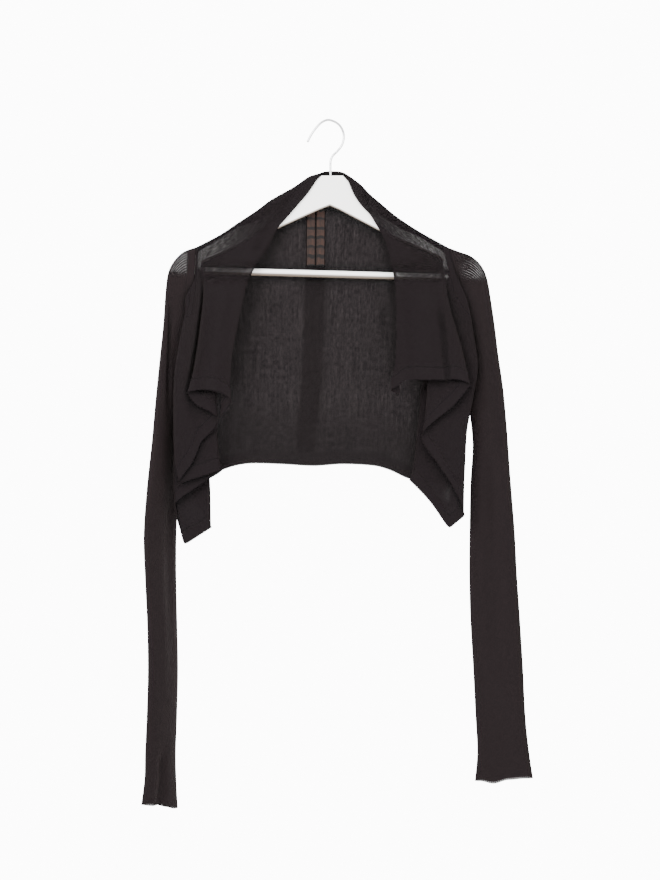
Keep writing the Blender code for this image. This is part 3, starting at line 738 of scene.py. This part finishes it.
def strip_rows(left_edge, width, lift, rows, columns):
    """Points of a strip that follows the back at this distance."""
    made = []
    for k in range(rows + 1):
        x, z = curve_point(left_edge, k / rows)
        line = [x + width * i / columns for i in range(columns + 1)]
        made.append([Vector((place, back_depth(place, z) + lift, z)) for place in line])
    return made


strip_grid = strip_rows(STRIP_LEFT_EDGE, STRIP_WIDTH, STRIP_LIFT, rows=70, columns=14)
strip = grid_sheet("back_strip_knit", strip_grid)
give_wall(strip)
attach(strip, "root")
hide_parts("back_strip")

tapes = []
for side, foot in TAPE_FEET.items():
    edge = [(foot + lean, z) for lean, z in TAPE_LEAN]
    rows = strip_rows(edge, TAPE_WIDTH, TAPE_LIFT, rows=40, columns=8)
    tape = grid_sheet("label_tape_" + side + "_satin", rows)
    give_wall(tape, TAPE_WALL)
    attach(tape, "root")
    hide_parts("label_tape_" + side)
    tapes.append(tape)
print("strip and tapes:", strip.name, [tape.name for tape in tapes])

# %% [markdown]
# ## The sleeves
# Extra-long, narrow sleeves hang flat from the armholes. A ring at each height names the sleeve's outer and
# inner edge, its half depth and how far it has turned, and the rings are joined by smooth curves.

# %% Rings of the sleeves
# Outer edge as x and z, inner edge as x and z, half depth, turn, and how far the ring follows the armhole
SLEEVE_RINGS = {
    "left": (
        (-244, -221.5, -254, -428, 9.6, 0, 0.75),
        (-260, -238, -256, -434, 9.8, 0, 0.45),
        (-269, -258, -256, -442, 10, 1, 0.2),
        (-273, -290, -255.5, -452, 10, 2, 0),
        (-276, -340, -255.5, -468, 10, 4, 0),
        (-281, -395, -255.5, -492, 10.5, 7, 0),
        (-286.5, -460, -256, -528, 11, 12, 0),
        (-292.5, -540, -256.5, -580, 11.5, 19, 0),
        (-300, -620, -257.5, -640, 12, 26, 0),
        (-304.5, -698, -260, -709, 12, 31, 0),
        (-301.5, -773, -260.5, -780, 12, 33, 0),
        (-298, -847, -259, -853, 12, 33, 0),
        (-297, -922, -257.5, -929, 12, 32, 0),
        (-299, -996, -259, -1004, 12, 31, 0),
        (-302, -1060, -261, -1071, 12, 30, 0),
        (-303.5, -1105, -259.5, -1121, 11.5, 30, 0),
        (-309.5, -1148, -256.5, -1162, 11, 30, 0),
    ),
    "right": (
        (221, -220, 251, -429, 9.6, 0, 0.75),
        (242, -228, 252, -434, 9.8, 0, 0.45),
        (258.5, -243, 249, -441, 10, 0, 0.2),
        (269, -266, 247, -450, 10, 0, 0),
        (276, -305, 245.5, -462, 10, 0, 0),
        (282.5, -350, 242.5, -476, 10, 0, 0),
        (288, -395, 240.5, -494, 10, 0, 0),
        (296, -450, 243.5, -522, 10, 0, 0),
        (302, -515, 245, -556, 10.5, 2, 0),
        (308, -600, 241.5, -612, 11, 3, 0),
        (315, -690, 240, -694, 11, 4, 0),
        (319, -765, 239.5, -766, 11, 4, 0),
        (324, -840, 241.5, -840, 11.5, 5, 0),
        (329, -920, 246, -920, 11.5, 5, 0),
        (333, -1000, 250, -1002, 11.5, 4, 0),
        (339, -1060, 253, -1064, 11, 4, 0),
        (346, -1107, 249, -1113, 10.5, 4, 0),
    ),
}
print("sleeve rings:", {side: len(rings) for side, rings in SLEEVE_RINGS.items()})

# %% Creases and cuffs of the sleeves
# Side, face (-1 front, 1 back), share across from the outer edge at the upper and at the lower end, upper and
# lower end, half width as a share, depth (a trough is below 0)
SLEEVE_CREASES = (
    ("left", -1, 0.40, 0.40, -1040, -1200, 0.11, -6.5),
    ("left", -1, 0.30, 0.46, -250, -520, 0.10, -3.6),
    ("left", -1, 0.66, 0.58, -560, -900, 0.12, -2.2),
    ("left", -1, 0.28, 0.36, -640, -1010, 0.12, 1.6),
    ("left", 1, 0.40, 0.48, -300, -780, 0.12, -3.0),
    ("left", 1, 0.60, 0.52, -820, -1140, 0.12, -2.4),
    ("right", -1, 0.26, 0.34, -330, -640, 0.10, -2.4),
    ("right", -1, 0.40, 0.40, -460, -1040, 0.12, 2.2),
    ("right", -1, 0.56, 0.58, -500, -1000, 0.10, -2.2),
    ("right", -1, 0.62, 0.50, -1010, -1140, 0.12, -2.0),
    ("right", 1, 0.42, 0.50, -320, -700, 0.12, -3.0),
    ("right", 1, 0.60, 0.48, -760, -1120, 0.12, -2.4),
)
# Waves of the raw cuffs: share across from the outer edge, reach as a share, how far up
CUFF_WAVES = {"left": ((0.40, 0.25, 1.9), (0.80, 0.25, -2.2)), "right": ((0.67, 0.25, -5.0), (0.2, 0.2, 0.8))}


def cuff_wave(side, share):
    """How far up the raw cuff waves at this share across the sleeve."""
    return sum(lift * (1.0 - eased(0.0, reach, abs(share - at))) for at, reach, lift in CUFF_WAVES[side])


def crease_lift(side, face, share, z):
    """How far the creases move the face of a sleeve out at this place."""
    lift = 0.0
    for on, crease_face, high_share, low_share, high, low, half, depth in SLEEVE_CREASES:
        if on == side and crease_face == face and low < z < high:
            t = (high - z) / (high - low)
            off = abs(share - (high_share + (low_share - high_share) * t)) / half
            fade = min(1.0, t / CREASE_END) * min(1.0, (1 - t) / CREASE_END)
            lift += depth * fade * fade * crease_shape(off)
    return lift


print("sleeve creases:", len(SLEEVE_CREASES))

# %% Loft the sleeves
ARMHOLE_HALF_DEPTH = 9.6
# Points round a ring, and rings from one named ring to the next
AROUND = 128
BETWEEN = 12
# How full a ring is between its edges, and how soon its creases reach their depth there
SLEEVE_ROUND = 0.75
CREASES_SOON = 3


def between_rows(table, place):
    """A row between the rows of a table, along smooth curves through each column."""
    k = min(int(place), len(table) - 2)
    t = place - k
    before, after = table[max(k - 1, 0)], table[min(k + 2, len(table) - 1)]
    made = []
    for p, a, b, n in zip(before, table[k], table[k + 1], after):
        made.append(a + 0.5 * t * (b - p + t * (2 * p - 5 * a + 4 * b - n + t * (3 * (a - b) + n - p))))
    return made


def sleeve_rings(side):
    """Points of a sleeve, ring by ring from the armhole to the cuff."""
    top_x, top_z = ARMHOLE[side][0]
    arm_x, arm_z = ARMHOLE[side][-1]
    table = ((top_x, top_z, arm_x, arm_z, ARMHOLE_HALF_DEPTH, 0, 1.0),) + SLEEVE_RINGS[side]
    places = [k / BETWEEN for k in range((len(table) - 1) * BETWEEN + 1)]
    read = [between_rows(table, place) for place in places]
    outer = [Vector((r[0], -r[5], r[1])) for r in read]
    inner = [Vector((r[2], r[5], r[3])) for r in read]
    middle = [(a + b) / 2 for a, b in zip(outer, inner)]
    rings = []
    for k, r in enumerate(read):
        way = (middle[min(k + 1, len(middle) - 1)] - middle[max(k - 1, 0)]).normalized()
        long_axis = (outer[k] - inner[k]) / 2
        short_axis = long_axis.cross(way).normalized()
        if short_axis.y > 0:
            short_axis.negate()
        bow = max(0.0, r[6])
        ring = []
        for i in range(AROUND):
            angle = 2 * math.pi * i / AROUND
            share = (1 - math.cos(angle)) / 2
            face = 1.0 if angle < math.pi else -1.0
            straight = outer[0].lerp(inner[0], share)
            curved = armhole_point(side, share, -face)
            flat = middle[k] + long_axis * math.cos(angle)
            lift = r[4] * abs(math.sin(angle)) ** SLEEVE_ROUND
            lift += crease_lift(side, -face, share, flat.z) * min(1.0, CREASES_SOON * abs(math.sin(angle)))
            flat += short_axis * lift * face
            flat.z += cuff_wave(side, share) * eased(0.0, 1.0, 1.0 - (len(read) - 1 - k) / BETWEEN)
            if bow > 0:
                flat.x += (curved.x - straight.x) * bow
                flat.z += (curved.z - straight.z) * bow
                flat.y += (curved.y - flat.y) * bow
            ring.append(flat)
        rings.append(ring)
    return rings


SLEEVE_GRIDS = {side: sleeve_rings(side) for side in SLEEVE_RINGS}
print("rings and points round:", {side: (len(grid), len(grid[0])) for side, grid in SLEEVE_GRIDS.items()})

# %% Where the sleeves are doubled and stretched
# The sheer cap of each sleeve: heights between which it closes up, in mm
SHEER_CAP = {"left": (-268, -248), "right": (-278, -256)}
# Distances in mm out from the shoulder tip between which it opens, and its least and most opening
SHEER_FROM = {"left": (0, 12, 0.3, 0.95), "right": (8, 44, 0.2, 0.75)}
# The armhole's seam ends above this height
ARMHOLE_FOOT = -440
# The far side of a cap counts this much, and is drawn without ribs
FAR_SIDE = 2.0


def sleeve_double(side, rings):
    """Where a sleeve is doubled: along its armhole seam."""
    def double(j, i, from_top, to_hem):
        point = rings[j][i]
        near = point.z >= ARMHOLE_FOOT
        return within(ARMHOLE_BAND[side][1], SEAM_SOFT, armhole_gap(side, point)) if near else 0.0
    return double


def sleeve_opened(side, rings):
    """The cap is stretched over the end of the hanger, and closes up where the sleeve hangs free."""
    start, end, least, most = SHEER_FROM[side]

    def opened(j, i, from_top, to_hem):
        point = rings[j][i]
        out = eased(start, end, abs(point.x - ARMHOLE[side][0][0]))
        far = FAR_SIDE if point.y > 0 else 1.0
        return far * eased(*SHEER_CAP[side], point.z) * (least + (most - least) * out)
    return opened


print("caps close up in mm between:", SHEER_CAP)

# %% Sew the sleeves
sleeves = {}
for side, rings in SLEEVE_GRIDS.items():
    piece = grid_sheet("sleeve_" + side + "_knit", rings, closed=True, double=sleeve_double(side, rings),
                       opened=sleeve_opened(side, rings))
    area = cloth_area(rings, closed=True)
    sleeves[side] = give_wall(piece)
    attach(piece, "root")
    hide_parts("sleeve_" + side)
    print(side, "sleeve: area", round(area, 3))

# %% [markdown]
# ## The hook
# A hook is one wire bent in a round. A curve with a round section is the wire itself: it follows the
# bend with no joints, and its tip is closed with a small ball, as a real wire end is tumbled smooth.

# %% Bend the hook
HOOK_LINE = ((-33, -34), (-28, -24), (-20, -12.5), (-11, -3), (0, 1.9), (11, -0.6), (20, -6.8), (26, -17),
             (27.5, -29), (24, -41), (16.5, -51), (9, -58.5), (5.5, -66), (5, -76), (5, -92))
HOOK_POINTS = 96
WIRE_RADIUS = 1.9
TIP_RADIUS = 1.98

line = bpy.data.curves.new("hook_wire", "CURVE")
line.dimensions = "3D"
line.bevel_depth = WIRE_RADIUS * MM
line.bevel_resolution = 5
line.use_fill_caps = True
bend = line.splines.new("POLY")
bend.points.add(HOOK_POINTS - 1)
for i in range(HOOK_POINTS):
    x, z = curve_point(HOOK_LINE, i / (HOOK_POINTS - 1))
    bend.points[i].co = (x * MM, 0, z * MM, 1)
hook = bpy.data.objects.new("hook_wire", line)
bpy.context.scene.collection.objects.link(hook)
bpy.ops.object.select_all(action="DESELECT")
hook.select_set(True)
bpy.context.view_layer.objects.active = hook
bpy.ops.object.convert(target="MESH")
bpy.ops.object.select_all(action="DESELECT")
bpy.ops.mesh.primitive_uv_sphere_add(segments=20, ring_count=12, radius=TIP_RADIUS * MM,
                                     location=(HOOK_LINE[0][0] * MM, 0, HOOK_LINE[0][1] * MM))
tip_ball = bpy.context.active_object
tip_ball.name = "hook_tip"
bpy.ops.object.transform_apply(location=True, rotation=True, scale=True)
for piece in (hook, tip_ball):
    piece.data.shade_smooth()
    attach(piece, "root")
    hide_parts("hanger_hook")
print("hook faces:", len(hook.data.polygons))

# %% [markdown]
# ## Working with colours and nodes
# Colours are picked as a screen shows them and turned to linear light once, by one function. A material is
# a tree of nodes. One helper adds a node of any kind with its settings, links any input that is given
# another node's output, and gives back its own output, so a pattern reads like the sum that it is.

# %% Colour and node helpers
def colour(text):
    """A screen colour such as "2c2628" as linear light."""
    parts = [int(text[k:k + 2], 16) / 255 for k in (0, 2, 4)]
    return tuple(c / 12.92 if c <= 0.04045 else ((c + 0.055) / 1.055) ** 2.4 for c in parts) + (1.0,)


def feed(node, inputs):
    """Give a node's inputs, by name or number, a value or another node's output."""
    for socket, value in inputs.items():
        if isinstance(value, bpy.types.NodeSocket):
            node.id_data.links.new(value, node.inputs[socket])
        else:
            node.inputs[socket].default_value = value


def node_adder(tree):
    """The function that adds a node to this tree. Inputs come in the node's order, or by name in a dict."""
    def add(kind, *inputs, output=0, **settings):
        made = tree.nodes.new("ShaderNode" + kind)
        for name, value in settings.items():
            setattr(made, name, value)
        for number, value in enumerate(inputs):
            feed(made, value if isinstance(value, dict) else {number: value})
        return made.outputs[output]
    return add


def new_finish(name):
    """A material, the function that adds its nodes, and its shader."""
    made = bpy.data.materials.new(name)
    made.use_nodes = True
    return made, node_adder(made.node_tree), made.node_tree.nodes["Principled BSDF"]


def put_on(piece, finish):
    """Give a piece this finish and no other."""
    piece.data.materials.clear()
    piece.data.materials.append(finish)


print("white in linear light:", colour("ffffff"))

# %% Patterns made of a few nodes
def noise(add, vector, across, down, detail=1.0):
    """Noise whose grain is this many millimetres across and down."""
    place = add("Mapping", {"Vector": vector, "Scale": (1 / (across * MM), 1 / (down * MM), 1)})
    return add("TexNoise", {"Vector": place, "Scale": 1.0, "Detail": detail}, noise_dimensions="2D")


def wave(add, along, pitch, push=0.0):
    """A sine along the cloth, from -1 to 1, that repeats every pitch in millimetres."""
    turn = add("Math", along, 2 * math.pi / (pitch * MM), push, operation="MULTIPLY_ADD")
    return add("Math", turn, operation="SINE")


def sharper(add, value, gain):
    """The value with its contrast raised about one half."""
    off = add("Math", value, 0.5, operation="SUBTRACT")
    return add("Math", off, gain, 0.5, operation="MULTIPLY_ADD", use_clamp=True)


def between(add, low, high, share, clamp=False):
    """low where the share is 0, and high where it is 1."""
    step = add("Math", high, low, operation="SUBTRACT")
    return add("Math", step, share, low, operation="MULTIPLY_ADD", use_clamp=clamp)


# %% [markdown]
# ## Fine viscose knit
# The cardigan is a fine jersey of brown-black viscose, knitted so open that white shows through one layer as
# a dark grey, while two layers are nearly black. Uneven yarn leaves thin streaks along the ribs. So the
# opacity, and not only the colour, carries the pattern: a surface is see-through by an amount that noise,
# doubling and stretch all change. The real wales are under a millimetre apart, too fine to show, so they
# are drawn 2.2 mm apart. The raw edges end in a comb of tiny picots, and these too are drawn coarser, 3 mm
# apart and deeper at the cuffs than at the hems. Where the hanger stretches the cloth, it opens in streaks
# along the shoulder, and round the sleeve's cap in ribs, drawn about 2 mm apart.

# %% Knit the cloth
WALE = 2.2
PICOT_PITCH, PICOT_GAP = 3.0, -0.5
HEM_PICOT, CUFF_PICOT = 1.6, 3.6
CAP_RIB = {"left": 1.7, "right": 2.0}
# Size in mm across and down the knit of its slubs, its long slubs and its grain, and of what breaks up the
# stretched cloth: how its ribs wander and break off, and its streaks
SLUB, LONG_SLUB, GRAIN = (2.2, 8.0), (3.2, 70.0), (2.4, 2.4)
RIB_WANDER, RIB_BREAKS, STREAKS = (9.0, 60.0), (3.0, 9.0), (5.0, 1.9)
# Parts of a streak: short slubs, long slubs and grain
SLUB_SHARE, LONG_SHARE, GRAIN_SHARE = 0.65, 0.35, 0.4
STREAK_MEAN = (SLUB_SHARE + LONG_SHARE + GRAIN_SHARE) / 2
# How far the ribs wander, how sharply ribs and streaks are cut, and how much and from where they break off
WANDER, RIB_CUT, STREAK_CUT = 2.0, 2.2, 2.0
BREAK_MUCH, BREAK_FROM = 3.6, -0.5
# Most cover of one plain surface, the cover of a doubled one, and that of the far side of a cap
MOST_COVER, DOUBLED_COVER, FAR_CAP = 0.96, 0.985, 0.25
# How much a doubled layer hides its streaks, how dark and how deep the edge of a band is, and the height of
# ribs and slubs
DOUBLED_HIDES, EDGE_DARK, EDGE_DEEP = 1.2, 1.3, 3.0
RIB_HEIGHT, SLUB_HEIGHT = 0.3, 0.8
# Reach in mm of the shadow in a crease, how fast it falls in, and the share of light left at its darkest
CREASE_REACH, CREASE_FALL, CREASE_DARK = 20, 1.9, 0.06


def knit_cover(add, across, drop, swing, plain, uneven, stretched):
    """How much of the light one surface stops."""
    # On the back, how doubled the cloth is also carries the painted shadow beside the fronts
    doubled = add("Attribute", attribute_name="double", output="Fac")
    opened = add("Attribute", attribute_name="opened", output="Fac")
    hung = add("CombineXYZ", across, drop)
    cover = add("Math", swing, -uneven, plain + STREAK_MEAN * uneven, operation="MULTIPLY_ADD")
    cover = add("Math", cover, MOST_COVER, operation="MINIMUM")
    pitch, least, most = stretched
    if pitch:
        push = add("Math", noise(add, hung, *RIB_WANDER), WANDER, operation="MULTIPLY")
        broken = noise(add, hung, *RIB_BREAKS, 2.0)
        broken = add("Math", broken, BREAK_MUCH, BREAK_FROM, operation="MULTIPLY_ADD")
        ribs = wave(add, across, pitch, push)
        ribs = add("Math", ribs, RIB_CUT, broken, operation="MULTIPLY_ADD", use_clamp=True)
        far = add("Math", opened, (1.0 + FAR_SIDE) / 2, operation="GREATER_THAN")
        pattern = between(add, ribs, FAR_CAP, far)
        opened = add("Math", opened, 1.0, operation="MINIMUM")
    else:
        pattern = sharper(add, noise(add, hung, *STREAKS, 2.0), STREAK_CUT)
    thin = add("Math", pattern, most - least, least, operation="MULTIPLY_ADD")
    return between(add, between(add, cover, thin, opened), DOUBLED_COVER, doubled, clamp=True)


def knit_finish(name, plain, uneven, stretched, dark, light, relief, picot=HEM_PICOT):
    """plain: cover of one surface. uneven: swing of its streaks. stretched: where the cloth is stretched
    open, the pitch of its ribs in mm, or 0 for streaks, and its least and most cover. relief: how far the
    slubs show in light and tone."""
    made, add, shader = new_finish(name)
    uv = add("UVMap", uv_map="cloth")
    across, up = add("SeparateXYZ", uv, output="X"), add("SeparateXYZ", uv, output="Y")
    doubled = add("Attribute", attribute_name="double", output="Fac")
    drop = add("Attribute", attribute_name="drop", output="Fac")

    slub, long_slub = noise(add, uv, *SLUB, 2.0), noise(add, uv, *LONG_SLUB, 2.0)
    streak = add("Math", long_slub, LONG_SHARE, operation="MULTIPLY")
    streak = add("Math", slub, SLUB_SHARE, streak, operation="MULTIPLY_ADD")
    swing = add("Math", noise(add, uv, *GRAIN), GRAIN_SHARE, streak, operation="MULTIPLY_ADD")
    closed = knit_cover(add, across, drop, swing, plain, uneven, stretched)
    tooth = add("Math", wave(add, across, PICOT_PITCH), PICOT_GAP, operation="GREATER_THAN")
    kept = add("Math", tooth, add("Math", up, picot * MM, operation="GREATER_THAN"), operation="MAXIMUM")

    shown = add("Math", doubled, -DOUBLED_HIDES, 1.0, operation="MULTIPLY_ADD", use_clamp=True)
    shown = add("Math", shown, relief, operation="MULTIPLY")
    tone = add("Mix", {"Factor": sharper(add, streak, shown), "A": colour(dark), "B": colour(light)},
               data_type="RGBA", output="Result")
    edge = add("Math", doubled, add("Math", 1.0, doubled, operation="SUBTRACT"), operation="MULTIPLY")
    open_to_light = add("AmbientOcclusion", {"Distance": CREASE_REACH * MM}, samples=8, output="AO")
    lit = add("Math", open_to_light, CREASE_FALL, operation="POWER")
    lit = add("Math", lit, 1.0 - CREASE_DARK, CREASE_DARK, operation="MULTIPLY_ADD")
    lit = add("Math", lit, add("Math", edge, -EDGE_DARK, 1.0, operation="MULTIPLY_ADD"), operation="MULTIPLY")
    shaded = add("Mix", {"Factor": lit, "A": colour("000000"), "B": tone}, data_type="RGBA", output="Result")
    height = add("Math", slub, SLUB_HEIGHT * relief, operation="MULTIPLY")
    height = add("Math", wave(add, across, WALE), RIB_HEIGHT, height, operation="MULTIPLY_ADD")
    height = add("Math", edge, -EDGE_DEEP, height, operation="MULTIPLY_ADD")
    feed(shader, {"Base Color": shaded, "Alpha": add("Math", closed, kept, operation="MULTIPLY"),
                  "Normal": add("Bump", {"Height": height, "Strength": 0.5, "Distance": 0.0004}),
                  "Roughness": 0.88, "Specular IOR Level": 0.096, "Sheen Weight": 0.042,
                  "Sheen Roughness": 0.4, "Sheen Tint": colour("96736b")})
    return made


print("wales and picots in mm:", WALE, PICOT_PITCH)

# %% Dress the pieces in knit
BROWN_BLACK = ("0a0607", "0f0a0c")
single_knit = knit_finish("Fine viscose jersey, single layer", 0.895, 0.33, (0, 0.55, 0.85),
                          "060405", "1b1617", 2.8)
draped_knit = knit_finish("Fine viscose jersey, draped fronts", 0.95, 0.05, (0, 0.45, 0.79),
                          *BROWN_BLACK, 0.4)
for piece in (back, strip):
    put_on(piece, single_knit)
for piece in fronts.values():
    put_on(piece, draped_knit)
for side, piece in sleeves.items():
    put_on(piece, knit_finish("Fine viscose jersey, %s sleeve" % side, 0.95, 0.05,
                              (CAP_RIB[side], 0.06, 0.95), "0e090a", "150f10", 0.5, CUFF_PICOT))
print("knit nodes:", len(single_knit.node_tree.nodes))

# %% [markdown]
# ## Satin label tape
# The bare label is two lengths of brown satin tape. Satin floats its threads across the tape, so it shines
# along one way and shows fine cross ribs. A row of darker stitched bars holds it, with no lettering.

# %% Weave the tape
TAPE_BAR = 16.0
# The cross ribs are finer on real satin, and are drawn 1.6 mm apart to show
WEFT = 1.6
# Size in mm across and down the tape of what varies its tone and of what makes its bars sway
PATCH, SWAY = (4.0, 12.0), (12.0, 16.0)
# How much the tone's patches make a bar fray, how far it sways, and from what height of the wave it shows
BAR_FRAY, BAR_SWAY, BAR_FROM = 0.25, 3.0, 0.72

tape_satin, add, shader = new_finish("Satin label tape, brown polyester")
uv = add("UVMap", uv_map="cloth")
up = add("SeparateXYZ", uv, output="Y")
patch = sharper(add, noise(add, uv, *PATCH, 3.0), 2.0)
sway = add("Math", noise(add, uv, *SWAY, 2.0), BAR_SWAY, operation="MULTIPLY")
barred = add("Math", patch, BAR_FRAY, wave(add, up, TAPE_BAR, sway), operation="MULTIPLY_ADD")
barred = add("Math", barred, BAR_FROM, operation="GREATER_THAN")
tone = add("Mix", {"Factor": patch, "A": colour("170d0a"), "B": colour("2a1912")}, data_type="RGBA",
           output="Result")
worked = add("Mix", {"Factor": barred, "A": tone, "B": colour("050202")}, data_type="RGBA", output="Result")
feed(shader, {"Base Color": worked, "Roughness": 0.6, "Specular IOR Level": 0.16, "Sheen Weight": 0.04,
              "Normal": add("Bump", {"Height": wave(add, up, WEFT), "Strength": 0.4, "Distance": 0.0003})})
for tape in tapes:
    put_on(tape, tape_satin)
print("tape bars in mm:", TAPE_BAR)

# %% [markdown]
# ## White painted wood and polished wire
# The hanger is sprayed with a satin white lacquer: nearly white, with a little orange peel, and a warmer,
# greyer painted shade on the undersides, where light is low. The hook is drawn steel wire, polished
# bright.

# %% Paint the hanger
# How fast the painted shade turns in on the undersides
UNDERSIDE_SHADE_TURN = 2.2
# Orange peel about 2 mm across, and grain 40 mm long and 2.5 mm wide, as cells to the metre
PEEL = 450.0
WOOD_GRAIN = (25, 400, 400)

lacquer, add, shader = new_finish("Satin white lacquer on beech")
place = add("TexCoord", output="Object")
facing = add("SeparateXYZ", add("NewGeometry", output="Normal"), output="Z")
# Painted shade: faces that turn downwards are mixed towards a darker, warmer grey
underside_shade = add("Math", facing, -UNDERSIDE_SHADE_TURN, operation="MULTIPLY", use_clamp=True)
tone = add("Mix", {"Factor": underside_shade, "A": colour("f8f7f5"), "B": colour("665b51")}, data_type="RGBA",
           output="Result")
peel = add("TexNoise", {"Vector": place, "Scale": PEEL, "Detail": 1.0})
grain_place = add("Mapping", {"Vector": place, "Scale": WOOD_GRAIN})
grain = add("TexNoise", {"Vector": grain_place, "Scale": 1.0})
height = add("Math", grain, 0.5, peel, operation="MULTIPLY_ADD")
feed(shader, {"Base Color": tone, "Roughness": 0.38,
              "Normal": add("Bump", {"Height": height, "Strength": 0.15, "Distance": 0.0005})})
for name in ("hanger_board", "hanger_bar"):
    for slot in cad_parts[name].material_slots:
        slot.material = lacquer
print("painted:", lacquer.name)

# %% Polish the wire
# The faint marks that drawing leaves, about 1 mm across, as cells to the metre, and how rough they make it
DRAWN = 900.0
ROUGH_LEAST, ROUGH_SPREAD = 0.1, 0.16

polished, add, shader = new_finish("Polished steel wire")
drawn = add("TexNoise", {"Vector": add("TexCoord", output="Object"), "Scale": DRAWN, "Detail": 2.0})
feed(shader, {"Base Color": colour("c9c9cb"), "Metallic": 1.0,
              "Roughness": add("Math", drawn, ROUGH_SPREAD, ROUGH_LEAST, operation="MULTIPLY_ADD"),
              "Normal": add("Bump", {"Height": drawn, "Strength": 0.08, "Distance": 0.0002})})
for piece in (hook, tip_ball):
    put_on(piece, polished)
print("finishes:", sorted(m.name for m in bpy.data.materials))

# %% [markdown]
# ## Floor, light and camera
# The object hangs in front of nothing but white, lit softly from all round, with a little more light from
# above and the left. Seen directly the white is brighter, as in the photograph, and where it shows through
# the cloth it has its own light. The floor is plain and pale, well below the cuffs. The camera looks
# straight on.

# %% Floor
FLOOR_SIZE = 3.9
FLOOR_Z = -1.75
bpy.ops.object.select_all(action="DESELECT")
bpy.ops.mesh.primitive_plane_add(size=FLOOR_SIZE, location=(0, 0, FLOOR_Z))
floor = bpy.context.active_object
floor.name = "floor"
floor_paint, add, shader = new_finish("Pale studio floor")
feed(shader, {"Base Color": colour("e9e8e6"), "Roughness": 0.8})
put_on(floor, floor_paint)
floor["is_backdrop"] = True
print("floor in m:", FLOOR_SIZE, "wide at z", FLOOR_Z)

# %% Light
# Strength of the white that lights the object, that shows through the cloth, and that is seen directly
STUDIO = 2.8
BEHIND = 0.9
BACKDROP = 12.0
world = bpy.context.scene.world or bpy.data.worlds.new("studio")
bpy.context.scene.world = world
world.use_nodes = True
add = node_adder(world.node_tree)
seen = add("LightPath", output="Is Camera Ray")
behind_cloth = add("Math", add("LightPath", output="Transparent Depth"), 0.5, operation="GREATER_THAN")
bare = add("Math", seen, behind_cloth, operation="SUBTRACT", use_clamp=True)
glow = between(add, STUDIO, between(add, BEHIND, BACKDROP, bare), seen)
feed(world.node_tree.nodes["Background"], {"Color": colour("ffffff"), "Strength": glow})


def softbox(name, place, aim, size, power):
    """A soft square of light at a place, turned to its aim."""
    lamp = bpy.data.lights.new(name, "AREA")
    lamp.shape = "RECTANGLE"
    lamp.size, lamp.size_y = size
    lamp.energy = power
    made = bpy.data.objects.new(name, lamp)
    made.location = place
    made.rotation_euler = (Vector(aim) - Vector(place)).to_track_quat("-Z", "Y").to_euler()
    bpy.context.scene.collection.objects.link(made)
    return made


softbox("key", (-1.4, -2.2, 0.9), (0, 0, -0.45), (1.4, 1.4), 132)
softbox("fill", (1.6, -2.4, -0.2), (0, 0, -0.5), (1.6, 1.6), 56)
print("lamps:", [lamp.name for lamp in bpy.data.lights])

# %% Camera
# Metres from the object, the height of the view there, and its middle as x and z
CAMERA_OFF = 3.5
VIEW_HIGH = 1.484
VIEW_X, VIEW_Z = 0.0042, -0.5378
SENSOR = 36.0
lens = bpy.data.cameras.new("camera")
lens.sensor_fit = "AUTO"
lens.sensor_width = SENSOR
lens.lens = SENSOR * CAMERA_OFF / VIEW_HIGH
camera = bpy.data.objects.new("camera", lens)
camera.location = (VIEW_X, -CAMERA_OFF, VIEW_Z)
camera.rotation_euler = (math.pi / 2, 0, 0)
bpy.context.scene.collection.objects.link(camera)
bpy.context.scene.camera = camera
print("lens in mm:", round(lens.lens, 1))

# %% [markdown]
# ## Measure and finish
# The box of the dressed model is shown next to the solid model's box; fabric may stand proud of it.

# %% Show both boxes
new_box = [list(corner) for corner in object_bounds()]
for name, box in (("cad", cad_box), ("visual", new_box)):
    print(name, [[round(v / MM, 1) for v in corner] for corner in box])
